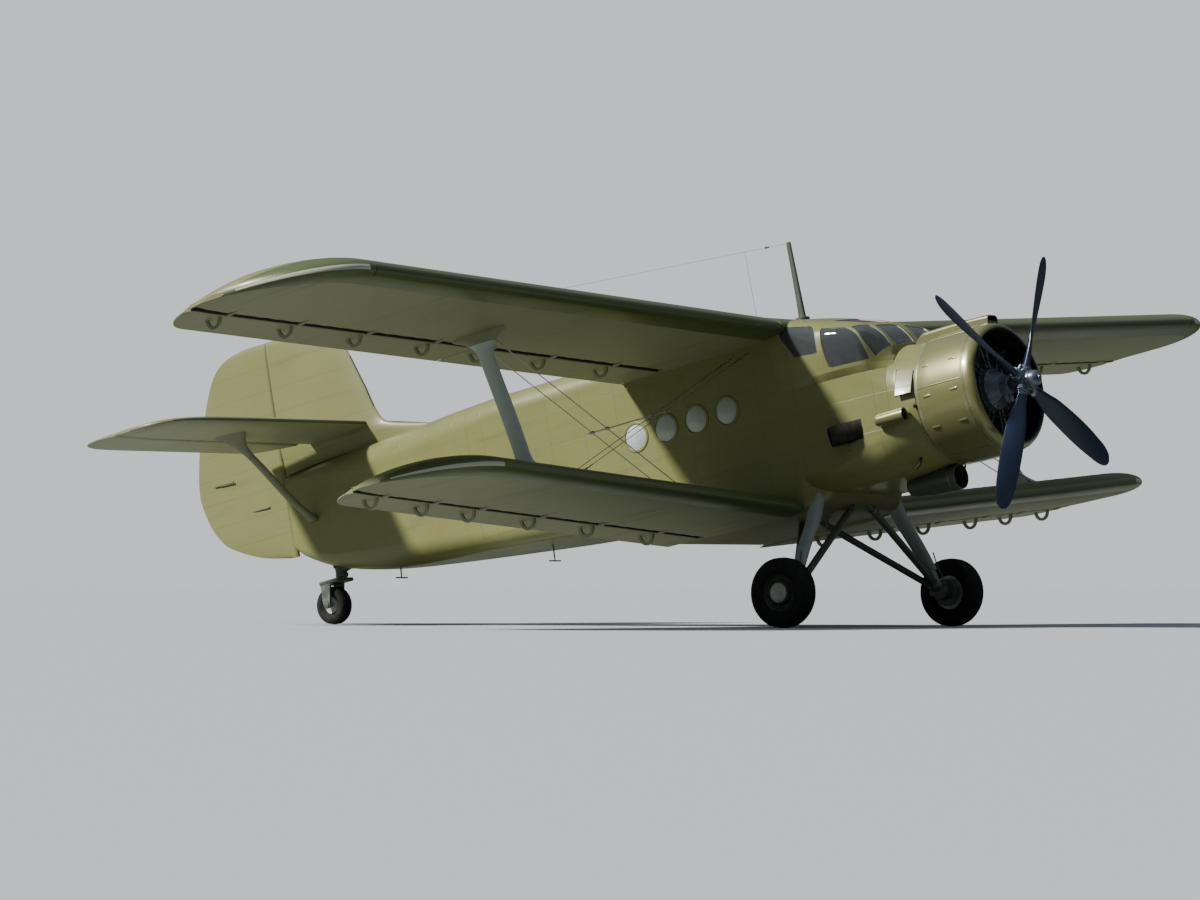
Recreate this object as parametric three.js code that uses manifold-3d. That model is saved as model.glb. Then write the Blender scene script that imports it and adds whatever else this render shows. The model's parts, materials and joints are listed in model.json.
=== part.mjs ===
import * as THREE from "three";
import { mergeVertices } from "three/addons/utils/BufferGeometryUtils.js";
import Module from "manifold-3d";

// A single-engine utility biplane standing on its tailwheel gear, in millimetres, floor at zero.
// Everything is placed first in the flight axes: nose +X, port +Y, up +Z, with the origin
// at the propeller centre on the thrust line. The parked attitude is applied at the end.

const wasm = await Module();
wasm.setup();

// Driving sizes in millimetres and degrees
const FIT = 0.3;
const UPPER = { half: 9088, chord: 2400, x: -2515, z: 1172, dihedral: 3, incidence: 3.1, rl: 1000, rt: 550 };
const LOWER = { half: 7118, chord: 2000, x: -2640, z: -942, dihedral: 4.3, incidence: 1.3, rl: 900, rt: 480 };
const TIP_REACH = 0.62;
const THICKNESS = 0.14;
const CAMBER = 0.038;
const ROOT_Y = 900;
const BAY_CUT = 0.735;
const HINGE_AT = 0.775;
const FLAP_NOSE = 0.75;
const SPLIT_Y = 4300;
const SLAT_END = 8060;
const TYRE_R = 400;
const TYRE_W = 260;
const MAIN_AXLE = [-2580, 1690, -1900];
const TAIL_AXLE = [-10520, 0, -385];
const TAIL_TYRE_R = 235;
const TAIL_TYRE_W = 190;
const PROP_R = 1750;
const WALL = 60;
const WINDOW_R = 160;
const WINDOWS_X = [-3507, -3956, -4405, -4854];
const WINDOW_Z = 440;
const SILL_Z = 550;
const CANOPY_BACK = -2760;
const CARGO = { x0: -6720, x1: -5200, z0: -225, z1: 1130 };
const ENTRY = { x0: -6130, x1: -5330, z0: -165, z1: 1000 };
const RUDDER_X = -10950;
const STAB_Z = 1700;
const STAB_HALF = 3600;
const ELEV_X = -10440;
const HINGE_X = RUDDER_X - 50;
const ELEV_HINGE = ELEV_X - 75;
const STRUT_Y = 4850;

// Colours are the object's own, by family
const PAINT = {
  olive: [0x6f7444, 0.32, 0.1],
  grey: [0x6f7058, 0.5, 0.05],
  strut: [0xa3aba6, 0.45, 0.1],
  blade: [0x3e4a5c, 0.4, 0.2],
  steel: [0x8d9294, 0.4, 0.9],
  dark: [0x2b2c2a, 0.6, 0.4],
  tyre: [0x1d1d1d, 0.9, 0],
  hub: [0x9fa39c, 0.5, 0.3],
  glass: [0x9fb4b8, 0.08, 0],
  inside: [0x8f9a8a, 0.7, 0],
  seat: [0x3b3a34, 0.8, 0],
};

// Solid helpers
function signedVolume(pos, index) {
  let volume = 0;
  for (let i = 0; i < index.length; i += 3) {
    const [a, b, c] = [index[i] * 3, index[i + 1] * 3, index[i + 2] * 3];
    volume += pos[a] * (pos[b + 1] * pos[c + 2] - pos[b + 2] * pos[c + 1]);
    volume -= pos[a + 1] * (pos[b] * pos[c + 2] - pos[b + 2] * pos[c]);
    volume += pos[a + 2] * (pos[b] * pos[c + 1] - pos[b + 1] * pos[c]);
  }
  return volume / 6;
}

function solid(pos, index) {
  if (signedVolume(pos, index) < 0) {
    for (let i = 0; i < index.length; i += 3) {
      [index[i], index[i + 1]] = [index[i + 1], index[i]];
    }
  }
  const geometry = new THREE.BufferGeometry();
  geometry.setAttribute("position", new THREE.Float32BufferAttribute(pos, 3));
  geometry.setIndex(index);
  return geometry;
}

// Closed body through rings of equally many points, both ends capped
function cap(ring, start, forward) {
  const n = ring.length;
  const span = [0, 1, 2].map((k) => Math.max(...ring.map((p) => p[k])) - Math.min(...ring.map((p) => p[k])));
  const drop = span.indexOf(Math.min(...span));
  const [u, v] = [0, 1, 2].filter((k) => k !== drop);
  const faces = THREE.ShapeUtils.triangulateShape(ring.map((p) => new THREE.Vector2(p[u], p[v])), []);
  const runs = faces.some(([a, b, c]) => [[a, b], [b, c], [c, a]].some(([p, q]) => q === (p + 1) % n));
  return faces.flatMap(([a, b, c]) => (runs === forward ? [a, b, c] : [a, c, b]).map((k) => k + start));
}

function loft(rings) {
  const n = rings[0].length;
  const index = [];
  for (let r = 0; r + 1 < rings.length; r += 1) {
    for (let i = 0; i < n; i += 1) {
      const a = r * n + i;
      const b = r * n + (i + 1) % n;
      index.push(a, b, a + n, b, b + n, a + n);
    }
  }
  index.push(...cap(rings[0], 0, false), ...cap(rings.at(-1), (rings.length - 1) * n, true));
  return solid(rings.flat(2), index);
}

function box(x0, x1, y0, y1, z0, z1) {
  const geometry = new THREE.BoxGeometry(x1 - x0, y1 - y0, z1 - z0);
  return geometry.translate((x0 + x1) / 2, (y0 + y1) / 2, (z0 + z1) / 2);
}

// Round bar between two points, with its radius at each end
function bar(from, to, r0, r1 = r0, sides = 8) {
  const a = new THREE.Vector3(...from);
  const b = new THREE.Vector3(...to);
  const geometry = new THREE.CylinderGeometry(r1, r0, a.distanceTo(b), sides);
  const along = b.clone().sub(a).normalize();
  geometry.applyQuaternion(new THREE.Quaternion().setFromUnitVectors(new THREE.Vector3(0, 1, 0), along));
  return geometry.translate((a.x + b.x) / 2, (a.y + b.y) / 2, (a.z + b.z) / 2);
}

// Turned body about the X axis from a closed list of [x, radius]
function turned(profile, sides = 28) {
  const points = profile.map(([x, r]) => new THREE.Vector2(r, x));
  const geometry = new THREE.LatheGeometry(points, sides);
  return geometry.rotateZ(-Math.PI / 2);
}

function weld(geometry) {
  const bare = geometry.clone();
  bare.deleteAttribute("normal");
  bare.deleteAttribute("uv");
  const whole = mergeVertices(bare, 1e-3);
  const pos = whole.attributes.position.array;
  const kept = [];
  const idx = whole.index.array;
  for (let i = 0; i < idx.length; i += 3) {
    if (idx[i] !== idx[i + 1] && idx[i + 1] !== idx[i + 2] && idx[i] !== idx[i + 2]) {
      kept.push(idx[i], idx[i + 1], idx[i + 2]);
    }
  }
  return solid([...pos], kept);
}

function asManifold(geometry) {
  const whole = weld(geometry);
  return new wasm.Manifold(new wasm.Mesh({
    numProp: 3,
    vertProperties: Float32Array.from(whole.attributes.position.array),
    triVerts: Uint32Array.from(whole.index.array),
  }));
}

function asGeometry(body) {
  const mesh = body.getMesh();
  const geometry = new THREE.BufferGeometry();
  geometry.setAttribute("position", new THREE.Float32BufferAttribute([...mesh.vertProperties], 3));
  geometry.setIndex([...mesh.triVerts]);
  return geometry;
}

function join(...parts) {
  return asGeometry(parts.map(asManifold).reduce((sum, next) => sum.add(next)));
}

function cut(base, ...tools) {
  return asGeometry(tools.map(asManifold).reduce((rest, next) => rest.subtract(next), asManifold(base)));
}

function common(base, tool) {
  return asGeometry(asManifold(base).intersect(asManifold(tool)));
}

function mirrored(geometry) {
  const copy = geometry.clone();
  const pos = copy.attributes.position;
  for (let i = 0; i < pos.count; i += 1) {
    pos.setY(i, -pos.getY(i));
  }
  const idx = [...copy.index.array];
  for (let i = 0; i < idx.length; i += 3) {
    [idx[i], idx[i + 1]] = [idx[i + 1], idx[i]];
  }
  copy.setIndex(idx);
  return copy;
}

// Wing section: heights over the chord line as a share of the chord
function skin(a) {
  const m = CAMBER;
  const p = 0.4;
  const mean = a < p ? m / p ** 2 * (2 * p * a - a * a) : m / (1 - p) ** 2 * (1 - 2 * p + 2 * p * a - a * a);
  const root = 0.2969 * Math.sqrt(a) - 0.126 * a - 0.3516 * a ** 2 + 0.2843 * a ** 3 - 0.1022 * a ** 4;
  const half = 5 * THICKNESS * root;
  return { up: mean + half, low: mean - half };
}

// A point at span y, chord share a and height h on the port side of a wing
function place(wing, y, a, h) {
  const i = THREE.MathUtils.degToRad(wing.incidence);
  const d = Math.tan(THREE.MathUtils.degToRad(wing.dihedral));
  const [along, over] = [a * wing.chord, h * wing.chord];
  const x = wing.x - along * Math.cos(i) - over * Math.sin(i);
  return [x, y, wing.z + y * d - along * Math.sin(i) + over * Math.cos(i)];
}

// Rounded tip: the share of the chord where the section starts and ends at span y
function tipShare(wing, y) {
  const lead = Math.max(0, (y - (wing.half - wing.rl)) / wing.rl);
  const trail = Math.max(0, (y - (wing.half - wing.rt)) / wing.rt);
  return {
    f0: TIP_REACH * (1 - Math.sqrt(1 - lead * lead)),
    f1: TIP_REACH + (1 - TIP_REACH) * Math.sqrt(1 - trail * trail),
  };
}

const CHORD_STEPS = [1, 0.9, 0.775, 0.6, 0.42, 0.27, 0.165, 0.09, 0.045, 0.015];
const END_EDGE = 0.0028;

function wingRing(wing, y) {
  const { f0, f1 } = tipShare(wing, y);
  const size = f1 - f0;
  const upper = CHORD_STEPS.map((a) => [a, a === 1 ? END_EDGE : skin(a).up]);
  const lower = CHORD_STEPS.map((a) => [a, a === 1 ? -END_EDGE : skin(a).low]).reverse();
  return [...upper, [0, 0], ...lower].map(([a, h]) => place(wing, y, f0 + a * size, h * size));
}

function tipStations(wing) {
  return [0, 0.35, 0.6, 0.78, 0.9, 0.965, 0.993].map((b) => wing.half - wing.rl * (1 - b));
}

function wingBody(wing, rootY) {
  return loft([rootY, ...tipStations(wing)].map((y) => wingRing(wing, y)));
}

// A prism along the span through a closed list of [share, height]
function spanPrism(wing, profile, y0, y1) {
  return loft([y0, y1].map((y) => profile.map(([a, h]) => place(wing, y, a, h))));
}

const bayProfile = [[BAY_CUT, -0.1], [BAY_CUT, 0.12], [1.05, 0.12], [1.05, -0.1]];
const slatInner = [[0.14, 0.0806], [0.095, 0.058], [0.065, 0.03], [0.045, -0.005], [0.03, skin(0.03).low]];
// The bay's lower lip lies close behind the slat's own lower edge, t being the share along that edge
const LIP_GAP = 0.35 / UPPER.chord;
const slatLip = (t) => {
  const low = skin(0.03).low;
  return [0.03 + 0.015 * t + 0.83 * LIP_GAP, low + (-0.005 - low) * t - 0.55 * LIP_GAP];
};
const slatBay = [
  [0.165, 0.12], [0.165, skin(0.165).up + 0.0005], [0.143, 0.0762], [0.1, 0.0535], [0.071, 0.0265],
  [0.051, -0.008], slatLip(0.5), slatLip(0), [0.03, -0.06], [-0.05, -0.06], [-0.05, 0.12],
];
const slatRing = [
  ...slatInner, [0.012, skin(0.012).low], [0, 0], [0.012, skin(0.012).up], [0.035, skin(0.035).up],
  [0.08, skin(0.08).up], [0.14, skin(0.14).up],
];

// Aileron or flap with a rounded nose about its hinge, its end following the tip
function controlRing(wing, y) {
  const { f1 } = tipShare(wing, y);
  const at = (a) => (a <= HINGE_AT ? a : HINGE_AT + (a - HINGE_AT) * (f1 - HINGE_AT) / (1 - HINGE_AT));
  const { up, low } = skin(HINGE_AT);
  const mid = (up + low) / 2;
  const nose = [110, 145, 180, 215, 250].map((t) => {
    const r = THREE.MathUtils.degToRad(t);
    return [HINGE_AT + Math.cos(r) * (HINGE_AT - FLAP_NOSE), mid + Math.sin(r) * (up - low) / 2];
  });
  const shrink = Math.min(1, (f1 - HINGE_AT) / (1 - HINGE_AT) * 0.6 + 0.4);
  const ring = [
    [1, END_EDGE], [0.89, skin(0.89).up], [HINGE_AT, up], ...nose, [HINGE_AT, low], [0.89, skin(0.89).low],
    [1, -END_EDGE],
  ];
  return ring.map(([a, h]) => place(wing, y, at(a), mid + (h - mid) * shrink));
}

function control(wing, ys, hinges) {
  return cut(loft(ys.map((y) => controlRing(wing, y))), ...hinges.flatMap((y) => hingeRoom(wing, y)));
}

// Hinge lug: a plate out to a pin on the hinge line, in a slot of the moving part
const PIN_R = 10;
const PIN_BORE = 12.2;
const PIN_SIDES = 6;
const ROOM_HALF = 57;
const PIN_HALF = ROOM_HALF - FIT;
const HINGE_MID = (skin(HINGE_AT).up + skin(HINGE_AT).low) / 2;

function hingeLug(wing, y) {
  const m = HINGE_MID;
  const plate = [
    [0.7, m - 0.012], [HINGE_AT, m - 0.011], [HINGE_AT + 0.009, m - 0.005], [HINGE_AT + 0.009, m + 0.005],
    [HINGE_AT, m + 0.011], [0.7, m + 0.012],
  ];
  const [from, to] = [y - PIN_HALF, y + PIN_HALF].map((at) => place(wing, at, HINGE_AT, m));
  return [spanPrism(wing, plate, y - 13, y + 13), bar(from, to, PIN_R, PIN_R, PIN_SIDES)];
}

function hingeRoom(wing, y) {
  const slot = [[0.735, -0.1], [0.735, 0.1], [HINGE_AT + 0.0165, 0.1], [HINGE_AT + 0.0165, -0.1]];
  const [from, to] = [y - ROOM_HALF, y + ROOM_HALF].map((at) => place(wing, at, HINGE_AT, HINGE_MID));
  return [spanPrism(wing, slot, y - 21, y + 21), bar(from, to, PIN_BORE, PIN_BORE, PIN_SIDES)];
}

// Fuselage sections: [x, half width, top, bottom, top corner radius, bottom corner radius]
const BODY = [
  [-1020, 705, 705, -705, 700, 700],
  [-1310, 745, 730, -745, 600, 560],
  [-1700, 820, 980, -775, 420, 380],
  [-2150, 872, 1230, -790, 300, 290],
  [-2760, 885, 1380, -745, 260, 240],
  [-3100, 885, 1418, -716, 250, 230],
  [-5000, 885, 1418, -555, 250, 220],
  [-6800, 885, 1418, -405, 260, 180],
  [-7400, 830, 1418, -355, 300, 220],
  [-8400, 620, 1412, -272, 320, 280],
  [-9400, 400, 1400, -160, 300, 260],
  [-10200, 225, 1385, 20, 190, 190],
  [-10800, 105, 1350, 290, 95, 95],
  [-10930, 80, 1330, 400, 75, 75],
];
const CORNER = [0, 30, 60, 90];

function bodyRing([x, w, top, low, rt, rb], inset = 0) {
  const [hw, zt, zb] = [w - inset, top - inset, low + inset];
  const [a, b] = [Math.max(rt - inset, 20), Math.max(rb - inset, 20)];
  const quarter = (cy, cz, r, from) => CORNER.map((t) => {
    const angle = THREE.MathUtils.degToRad(from + t);
    return [x, cy + Math.cos(angle) * r, cz + Math.sin(angle) * r];
  });
  return [
    ...quarter(hw - a, zt - a, a, 0), ...quarter(-hw + a, zt - a, a, 90),
    ...quarter(-hw + b, zb + b, b, 180), ...quarter(hw - b, zb + b, b, 270),
  ];
}

// The section between two table rows at any x
function bodyAt(x) {
  const next = Math.max(1, BODY.findIndex((row) => row[0] <= x));
  const [p, q] = [BODY[next - 1], BODY[next]];
  const t = (x - p[0]) / (q[0] - p[0]);
  return p.map((value, k) => (k === 0 ? x : value + (q[k] - value) * t));
}

function bodyLoft(x0, x1, inset = 0) {
  const inner = BODY.filter((row) => row[0] < x0 - 1 && row[0] > x1 + 1);
  return loft([bodyAt(x0), ...inner, bodyAt(x1)].map((row) => bodyRing(row, inset)));
}

const group = new THREE.Group();
group.name = "utility_biplane";
const pieces = [];

function add(name, geometry, paint) {
  pieces.push({ name, geometry, paint: PAINT[paint] });
}

function addPair(name, portGeometry, paint) {
  add(name + "_left", portGeometry, paint);
  add(name + "_right", mirrored(portGeometry), paint);
}

// Wings: fixed panels with the bays for slats, flaps and ailerons taken out
const upperFull = wingBody(UPPER, ROOT_Y + FIT);
const lowerFull = wingBody(LOWER, ROOT_Y + FIT);
const AILERON_HINGES = [4900, 7900];
const UPPER_FLAP_HINGES = [1500, 3700];
const LOWER_FLAP_HINGES = [1700, 5700];
const upperWing = join(
  cut(
    upperFull, spanPrism(UPPER, bayProfile, 935, UPPER.half - 55), spanPrism(UPPER, slatBay, 880, SLAT_END + 12),
  ),
  ...[...UPPER_FLAP_HINGES, ...AILERON_HINGES].flatMap((y) => hingeLug(UPPER, y)),
);
const lowerWing = join(
  cut(lowerFull, spanPrism(LOWER, bayProfile, 935, LOWER.half - 55)),
  ...LOWER_FLAP_HINGES.flatMap((y) => hingeLug(LOWER, y)),
);
addPair("upper_wing", upperWing, "olive");
addPair("lower_wing", lowerWing, "olive");
addPair("slat", spanPrism(UPPER, slatRing, ROOT_Y + 20, SLAT_END), "olive");
addPair("upper_flap", control(UPPER, [950, SPLIT_Y - 10], UPPER_FLAP_HINGES), "olive");
addPair("lower_flap", control(LOWER, [950, 6430, 6670, 6850, 6970, 7035], LOWER_FLAP_HINGES), "olive");
addPair("aileron", control(UPPER, [SPLIT_Y + 10, 8400, 8640, 8820, 8940, 9005], AILERON_HINGES), "olive");

// Carry-through of the upper wing: the cabin roof between the root ribs
function sectionBlock(wing, y, grow) {
  const g = grow / wing.chord;
  const upper = CHORD_STEPS.map((a) => [a === 1 ? 1 + g : a, (a === 1 ? END_EDGE : skin(a).up) + g]);
  const lower = CHORD_STEPS.map((a) => [a === 1 ? 1 + g : a, (a === 1 ? -END_EDGE : skin(a).low) - g]).reverse();
  const ring = [...upper, [-g, 0], ...lower];
  return loft([-y, y].map((at) => ring.map(([a, h]) => {
    const [x, , z] = place(wing, ROOT_Y, a, h);
    return [x, at, z];
  })));
}
const upperCentre = sectionBlock(UPPER, ROOT_Y, 0);
const upperCentreFit = sectionBlock(UPPER, ROOT_Y + 20, FIT);
add("upper_centre_section", upperCentre, "olive");

// Carry-through of the lower wing under the cabin floor, with its belly fairing
// [x, half width, underside]
const BELLY = [
  [-2330, 700, -760], [-2480, 800, -900], [-2640, 900, -935], [-4400, 900, -925], [-4900, 820, -800],
  [-5350, 600, -560],
];
const bellyLoft = (grow) => loft(BELLY.map(([x, half, under]) => {
  const [w, low] = [half + grow, under - grow];
  return [
    [x + grow, -w, -300], [x + grow, w, -300], [x + grow, w, low + 60], [x + grow, w - 90, low],
    [x + grow, -w + 90, low], [x + grow, -w, low + 60],
  ];
}));
const bellyRaw = bellyLoft(0);
const bodyHalf = bodyLoft(-1020, -10930, -1.5 * FIT);
const bodyGrown = join(bodyHalf, mirrored(bodyHalf));
add("lower_centre_section", cut(bellyRaw, bodyGrown), "olive");

// Cabin and cockpit tub, hollow, with its windows and the cargo opening cut
const port = (x, r, y0, y1) => bar([x, y0, WINDOW_Z], [x, y1, WINDOW_Z], r, r, 12);
const cabinShell = cut(
  bodyLoft(-1350, -7380),
  bodyLoft(-1340, -7320, WALL),
  box(CANOPY_BACK, -1200, -1200, 1200, SILL_Z, 1700),
  upperCentreFit,
  box(-3300, -2700, -1200, 1200, 1150, 1700),
  box(CARGO.x0, CARGO.x1, 700, 1000, CARGO.z0, CARGO.z1),
  ...WINDOWS_X.map((x) => port(x, WINDOW_R, -1000, -700)),
  ...WINDOWS_X.slice(0, 3).map((x) => port(x, WINDOW_R, 700, 1000)),
);
// Cargo door hinges: knuckles on the skin above the opening and on the door's top edge
const CARGO_HINGES = [-6420, -5500];
const HY = 900;
const HZ = CARGO.z1;
const skinKnuckle = (x) => [-1, 1].flatMap((side) => {
  const [a, b] = [x + side * 60.5, x + side * 100];
  const [lo, hi] = [Math.min(a, b), Math.max(a, b)];
  return [
    bar([lo, HY, HZ], [hi, HY, HZ], 14, 14, 6), box(lo, hi, 886, 893, HZ, HZ + 70),
    box(lo, hi, 875, 893, HZ + 20, HZ + 70),
  ];
});
const doorKnuckle = (x) => [
  bar([x - 60, HY, HZ], [x + 60, HY, HZ], 14, 14, 6), box(x - 60, x + 60, 886, 893, HZ - 70, HZ),
  box(x - 60, x + 60, 880, 893, HZ - 70, HZ - 12),
];
add("cabin_shell", join(cabinShell, ...CARGO_HINGES.flatMap(skinKnuckle)), "olive");

// Round window panes proud of one inner strip on each side
function paneStrip(xs, side) {
  const inner = side * (885 - WALL - FIT);
  const plate = box(Math.min(...xs) - 190, Math.max(...xs) + 190, Math.min(inner, inner - side * 6),
    Math.max(inner, inner - side * 6), WINDOW_Z - 185, WINDOW_Z + 185);
  const r = WINDOW_R - 1;
  const panes = xs.map((x) => bar([x, inner - side * 5, WINDOW_Z], [x, side * 880, WINDOW_Z], r, r, 12));
  return join(plate, ...panes);
}
add("window_glass_right", paneStrip(WINDOWS_X, -1), "glass");
add("window_glass_left", paneStrip(WINDOWS_X.slice(0, 3), 1), "glass");

// Cockpit canopy: [x, sill width, bulge width, shoulder z, shoulder width, edge z, edge width, roof z]
const CANOPY = [
  [-1290, 735, 740, 650, 715, 705, 520, 735],
  [-1420, 800, 815, 850, 750, 900, 500, 930],
  [-1560, 850, 880, 960, 820, 1020, 520, 1048],
  [-2100, 925, 935, 1060, 880, 1180, 620, 1236],
  [-2500, 905, 910, 1130, 882, 1270, 680, 1335],
  [-2760, 886, 886, 1190, 884, 1330, 720, 1380],
];

function canopyLoft(inset, x0, x1, sill) {
  const last = CANOPY.at(-1);
  const table = x1 < 0 ? [...CANOPY, [last[0] + x1, ...last.slice(1)]] : CANOPY;
  const rows = table.map((row, k) => {
    const x = k === 0 ? row[0] - x0 : k === table.length - 1 ? row[0] + Math.max(x1, 0) : row[0];
    const [, w0, wm, zs, ws, ze, we, zt] = row;
    const mid = SILL_Z + (zs - SILL_Z) * 0.5;
    const half = [
      [w0 - inset, sill], [wm - inset, mid], [ws - inset, zs - inset / 2], [we - inset / 2, ze - inset],
    ];
    return [
      ...half.map(([y, z]) => [x, -y, z]), [x, 0, zt - inset], ...half.reverse().map(([y, z]) => [x, y, z]),
    ];
  });
  return loft(rows);
}
// Window cuts, each as [x0, x1, y0, y1, z0, z1], the ones off the centre line on both sides
const PANES = [
  [-2040, -1450, 600, 1100, 610, 985],
  [-2630, -2160, 600, 1100, 780, 1085],
  [-1545, -1200, 30, 400, 770, 990],
  [-1545, -1200, 450, 640, 770, 900],
  [-2040, -1640, 40, 470, 980, 1400],
];
function paneBoxes(shrink) {
  return PANES.flatMap(([x0, x1, y0, y1, z0, z1]) => {
    const one = [x0 + shrink, x1 - shrink, y0 + shrink, y1 - shrink, z0 + shrink, z1 - shrink];
    return [box(...one), box(one[0], one[1], -one[3], -one[2], one[4], one[5])];
  });
}
const canopyOuter = canopyLoft(0, 0, FIT, SILL_Z + FIT);
const noseFit = bodyLoft(-1020, -1350, -FIT);
const canopyFrame = cut(
  canopyOuter, canopyLoft(36, 40, -50, SILL_Z - 60), upperCentreFit, noseFit, ...paneBoxes(0),
);
add("canopy_frame", canopyFrame, "olive");
const linerOuter = canopyLoft(37, 41, 0, SILL_Z + 12);
const liner = cut(linerOuter, canopyLoft(43, 48, -50, SILL_Z - 60), box(-2800, -2750, -1000, 1000, 0, 2000));
const paneLayer = cut(canopyLoft(8, 5, 10, SILL_Z + 12), canopyLoft(40, 44, -60, SILL_Z - 80));
const panes = paneBoxes(1).map((tool) => common(paneLayer, tool));
add("canopy_glass", cut(join(liner, ...panes), upperCentreFit, noseFit), "glass");

// Nose between the engine bulkhead and the windscreen
add("nose_section", bodyLoft(-1020 - FIT, -1350 + FIT), "olive");

// Engine cowl: a rolled lip, then the barrel, open at both ends
const cowlOuter = [
  [-185, 665], [-197, 705], [-235, 738], [-300, 752], [-560, 760], [-800, 758], [-985, 745],
];
const cowlInner = [[-985, 730], [-800, 743], [-560, 745], [-300, 722], [-215, 655]];
const cowl = turned([...cowlOuter, ...cowlInner, cowlOuter[0]], 24);
add("cowling", cowl, "olive");

// Nine cylinders round the crankcase, with the reduction case in front
const casing = turned([
  [-155, 0], [-155, 95], [-230, 120], [-300, 180], [-430, 230], [-520, 290], [-800, 290], [-860, 420],
  [-1019.7, 420], [-1019.7, 0],
], 14);
const cylinders = [...Array(9).keys()].flatMap((k) => {
  const t = (k / 9) * Math.PI * 2 + Math.PI / 2;
  const at = (r) => [-560, Math.cos(t) * r, Math.sin(t) * r];
  return [bar(at(240), at(675), 112, 96, 10)];
});
add("engine", join(casing, ...cylinders), "dark");

// Air scoop on top of the cowl
const scoopRing = (x, w, top, low) => [
  [x, -w, low], [x, w, low], [x, w, top - 35], [x, w - 40, top], [x, -w + 40, top], [x, -w, top - 35],
];
const scoopRaw = loft([
  scoopRing(-262, 105, 836, 700), scoopRing(-700, 112, 846, 700), scoopRing(-1150, 112, 842, 650),
  scoopRing(-1280, 95, 770, 650),
]);
const cowlGrown = cowlOuter.map(([x, r]) => [x - FIT, r + 2 * FIT]);
const cowlFull = turned([[-184, 0], ...cowlGrown, [-986, 0]], 24);
const scoopMouth = box(-430, -240, -88, 88, 768, 822);
add("air_scoop", cut(scoopRaw, cowlFull, bodyGrown, scoopMouth), "olive");

// Oil cooler under the nose and the heater intake and exhaust on the starboard side
const cooler = bar([-1050, 0, -865], [-1740, 0, -845], 150, 120, 16);
add("oil_cooler", cut(cooler, bar([-1030, 0, -866], [-1250, 0, -860], 122, 122, 16), bodyGrown), "olive");
const exhaust = join(
  bar([-1700, -700, -150], [-1900, -900, -185], 120, 120, 10),
  bar([-1860, -870, -180], [-2120, -965, -215], 118, 112, 10),
);
const outlet = bar([-1960, -910, -192], [-2200, -990, -222], 98, 98, 10);
add("exhaust_pipe", cut(exhaust, outlet, bodyGrown), "steel");
const heater = join(
  bar([-1130, -800, -137], [-1430, -825, -137], 78, 70, 14),
  box(-1400, -1180, -790, -700, -170, -105),
);
const heaterMouth = bar([-1100, -797, -137], [-1230, -808, -137], 60, 60, 14);
add("heater_intake", cut(heater, heaterMouth, bodyGrown), "strut");

// Tail cone, open to the front, the fin on it and the stern post

// Fin: [z, leading edge x, half thickness]
const FIN = [
  [1300, -8250, 30], [1440, -8420, 34], [1530, -8750, 46], [1690, -9270, 68], [2200, -9480, 62], [2680, -9670, 54],
  [2880, -9780, 46], [3000, -9950, 38], [3050, -10180, 26],
];
const FIN_BACK = -10935;
const RUDDER_PINS = [760, 2500];
const rudderLug = (z) => [
  box(RUDDER_X - 68, FIN_BACK + 60, -13, 13, z - 13, z + 13),
  bar([HINGE_X, 0, z - PIN_HALF], [HINGE_X, 0, z + PIN_HALF], PIN_R, PIN_R, PIN_SIDES),
];
const rudderRoom = (z) => [
  box(HINGE_X - 36, FIN_BACK, -90, 90, z - 21, z + 21),
  bar([HINGE_X, 0, z - ROOM_HALF], [HINGE_X, 0, z + ROOM_HALF], PIN_BORE, PIN_BORE, PIN_SIDES),
];
function finLoft(grow) {
  return loft(FIN.map(([z, x, t]) => {
    const w = t + grow;
    const c = x - FIN_BACK;
    const half = [
      [x + grow, 0], [x - c * 0.06, w * 0.55], [x - c * 0.3, w], [x - c * 0.65, w * 0.92], [FIN_BACK, w * 0.7],
    ];
    return [...half.map(([px, py]) => [px, py, z]), ...half.slice(1).reverse().map(([px, py]) => [px, -py, z])];
  }));
}
const finBody = cut(finLoft(0), bodyGrown, box(-10945, -10900, -90, 90, 1200, 1332));
add("fin", join(finBody, ...rudderLug(RUDDER_PINS[1])), "olive");

// Rudder: [z, trailing edge x, half thickness at the hinge]
const RUDDER = [
  [330, -11080, 34], [420, -11500, 40], [580, -11890, 46], [724, -12120, 48], [1060, -12330, 50], [1400, -12410, 50],
  [1846, -12330, 48], [2370, -12120, 44], [2700, -11960, 38], [2890, -11810, 32], [3000, -11600, 26],
  [3050, -11350, 18],
];
const tailCone = cut(bodyLoft(-7380 - FIT, -10930), bodyLoft(-7370, -9400, WALL));
add("tail_cone", join(tailCone, ...rudderLug(RUDDER_PINS[0])), "olive");
const rudderBody = loft(RUDDER.map(([z, x, t]) => {
  const nose = [90, 125, 160, 200, 235, 270].map((deg) => {
    const r = THREE.MathUtils.degToRad(deg);
    return [HINGE_X - Math.cos(r) * t, Math.sin(r) * t, z];
  });
  return [[x, 6, z], ...nose, [x, -6, z]];
}));
add("rudder", cut(rudderBody, ...RUDDER_PINS.flatMap(rudderRoom)), "olive");

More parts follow.
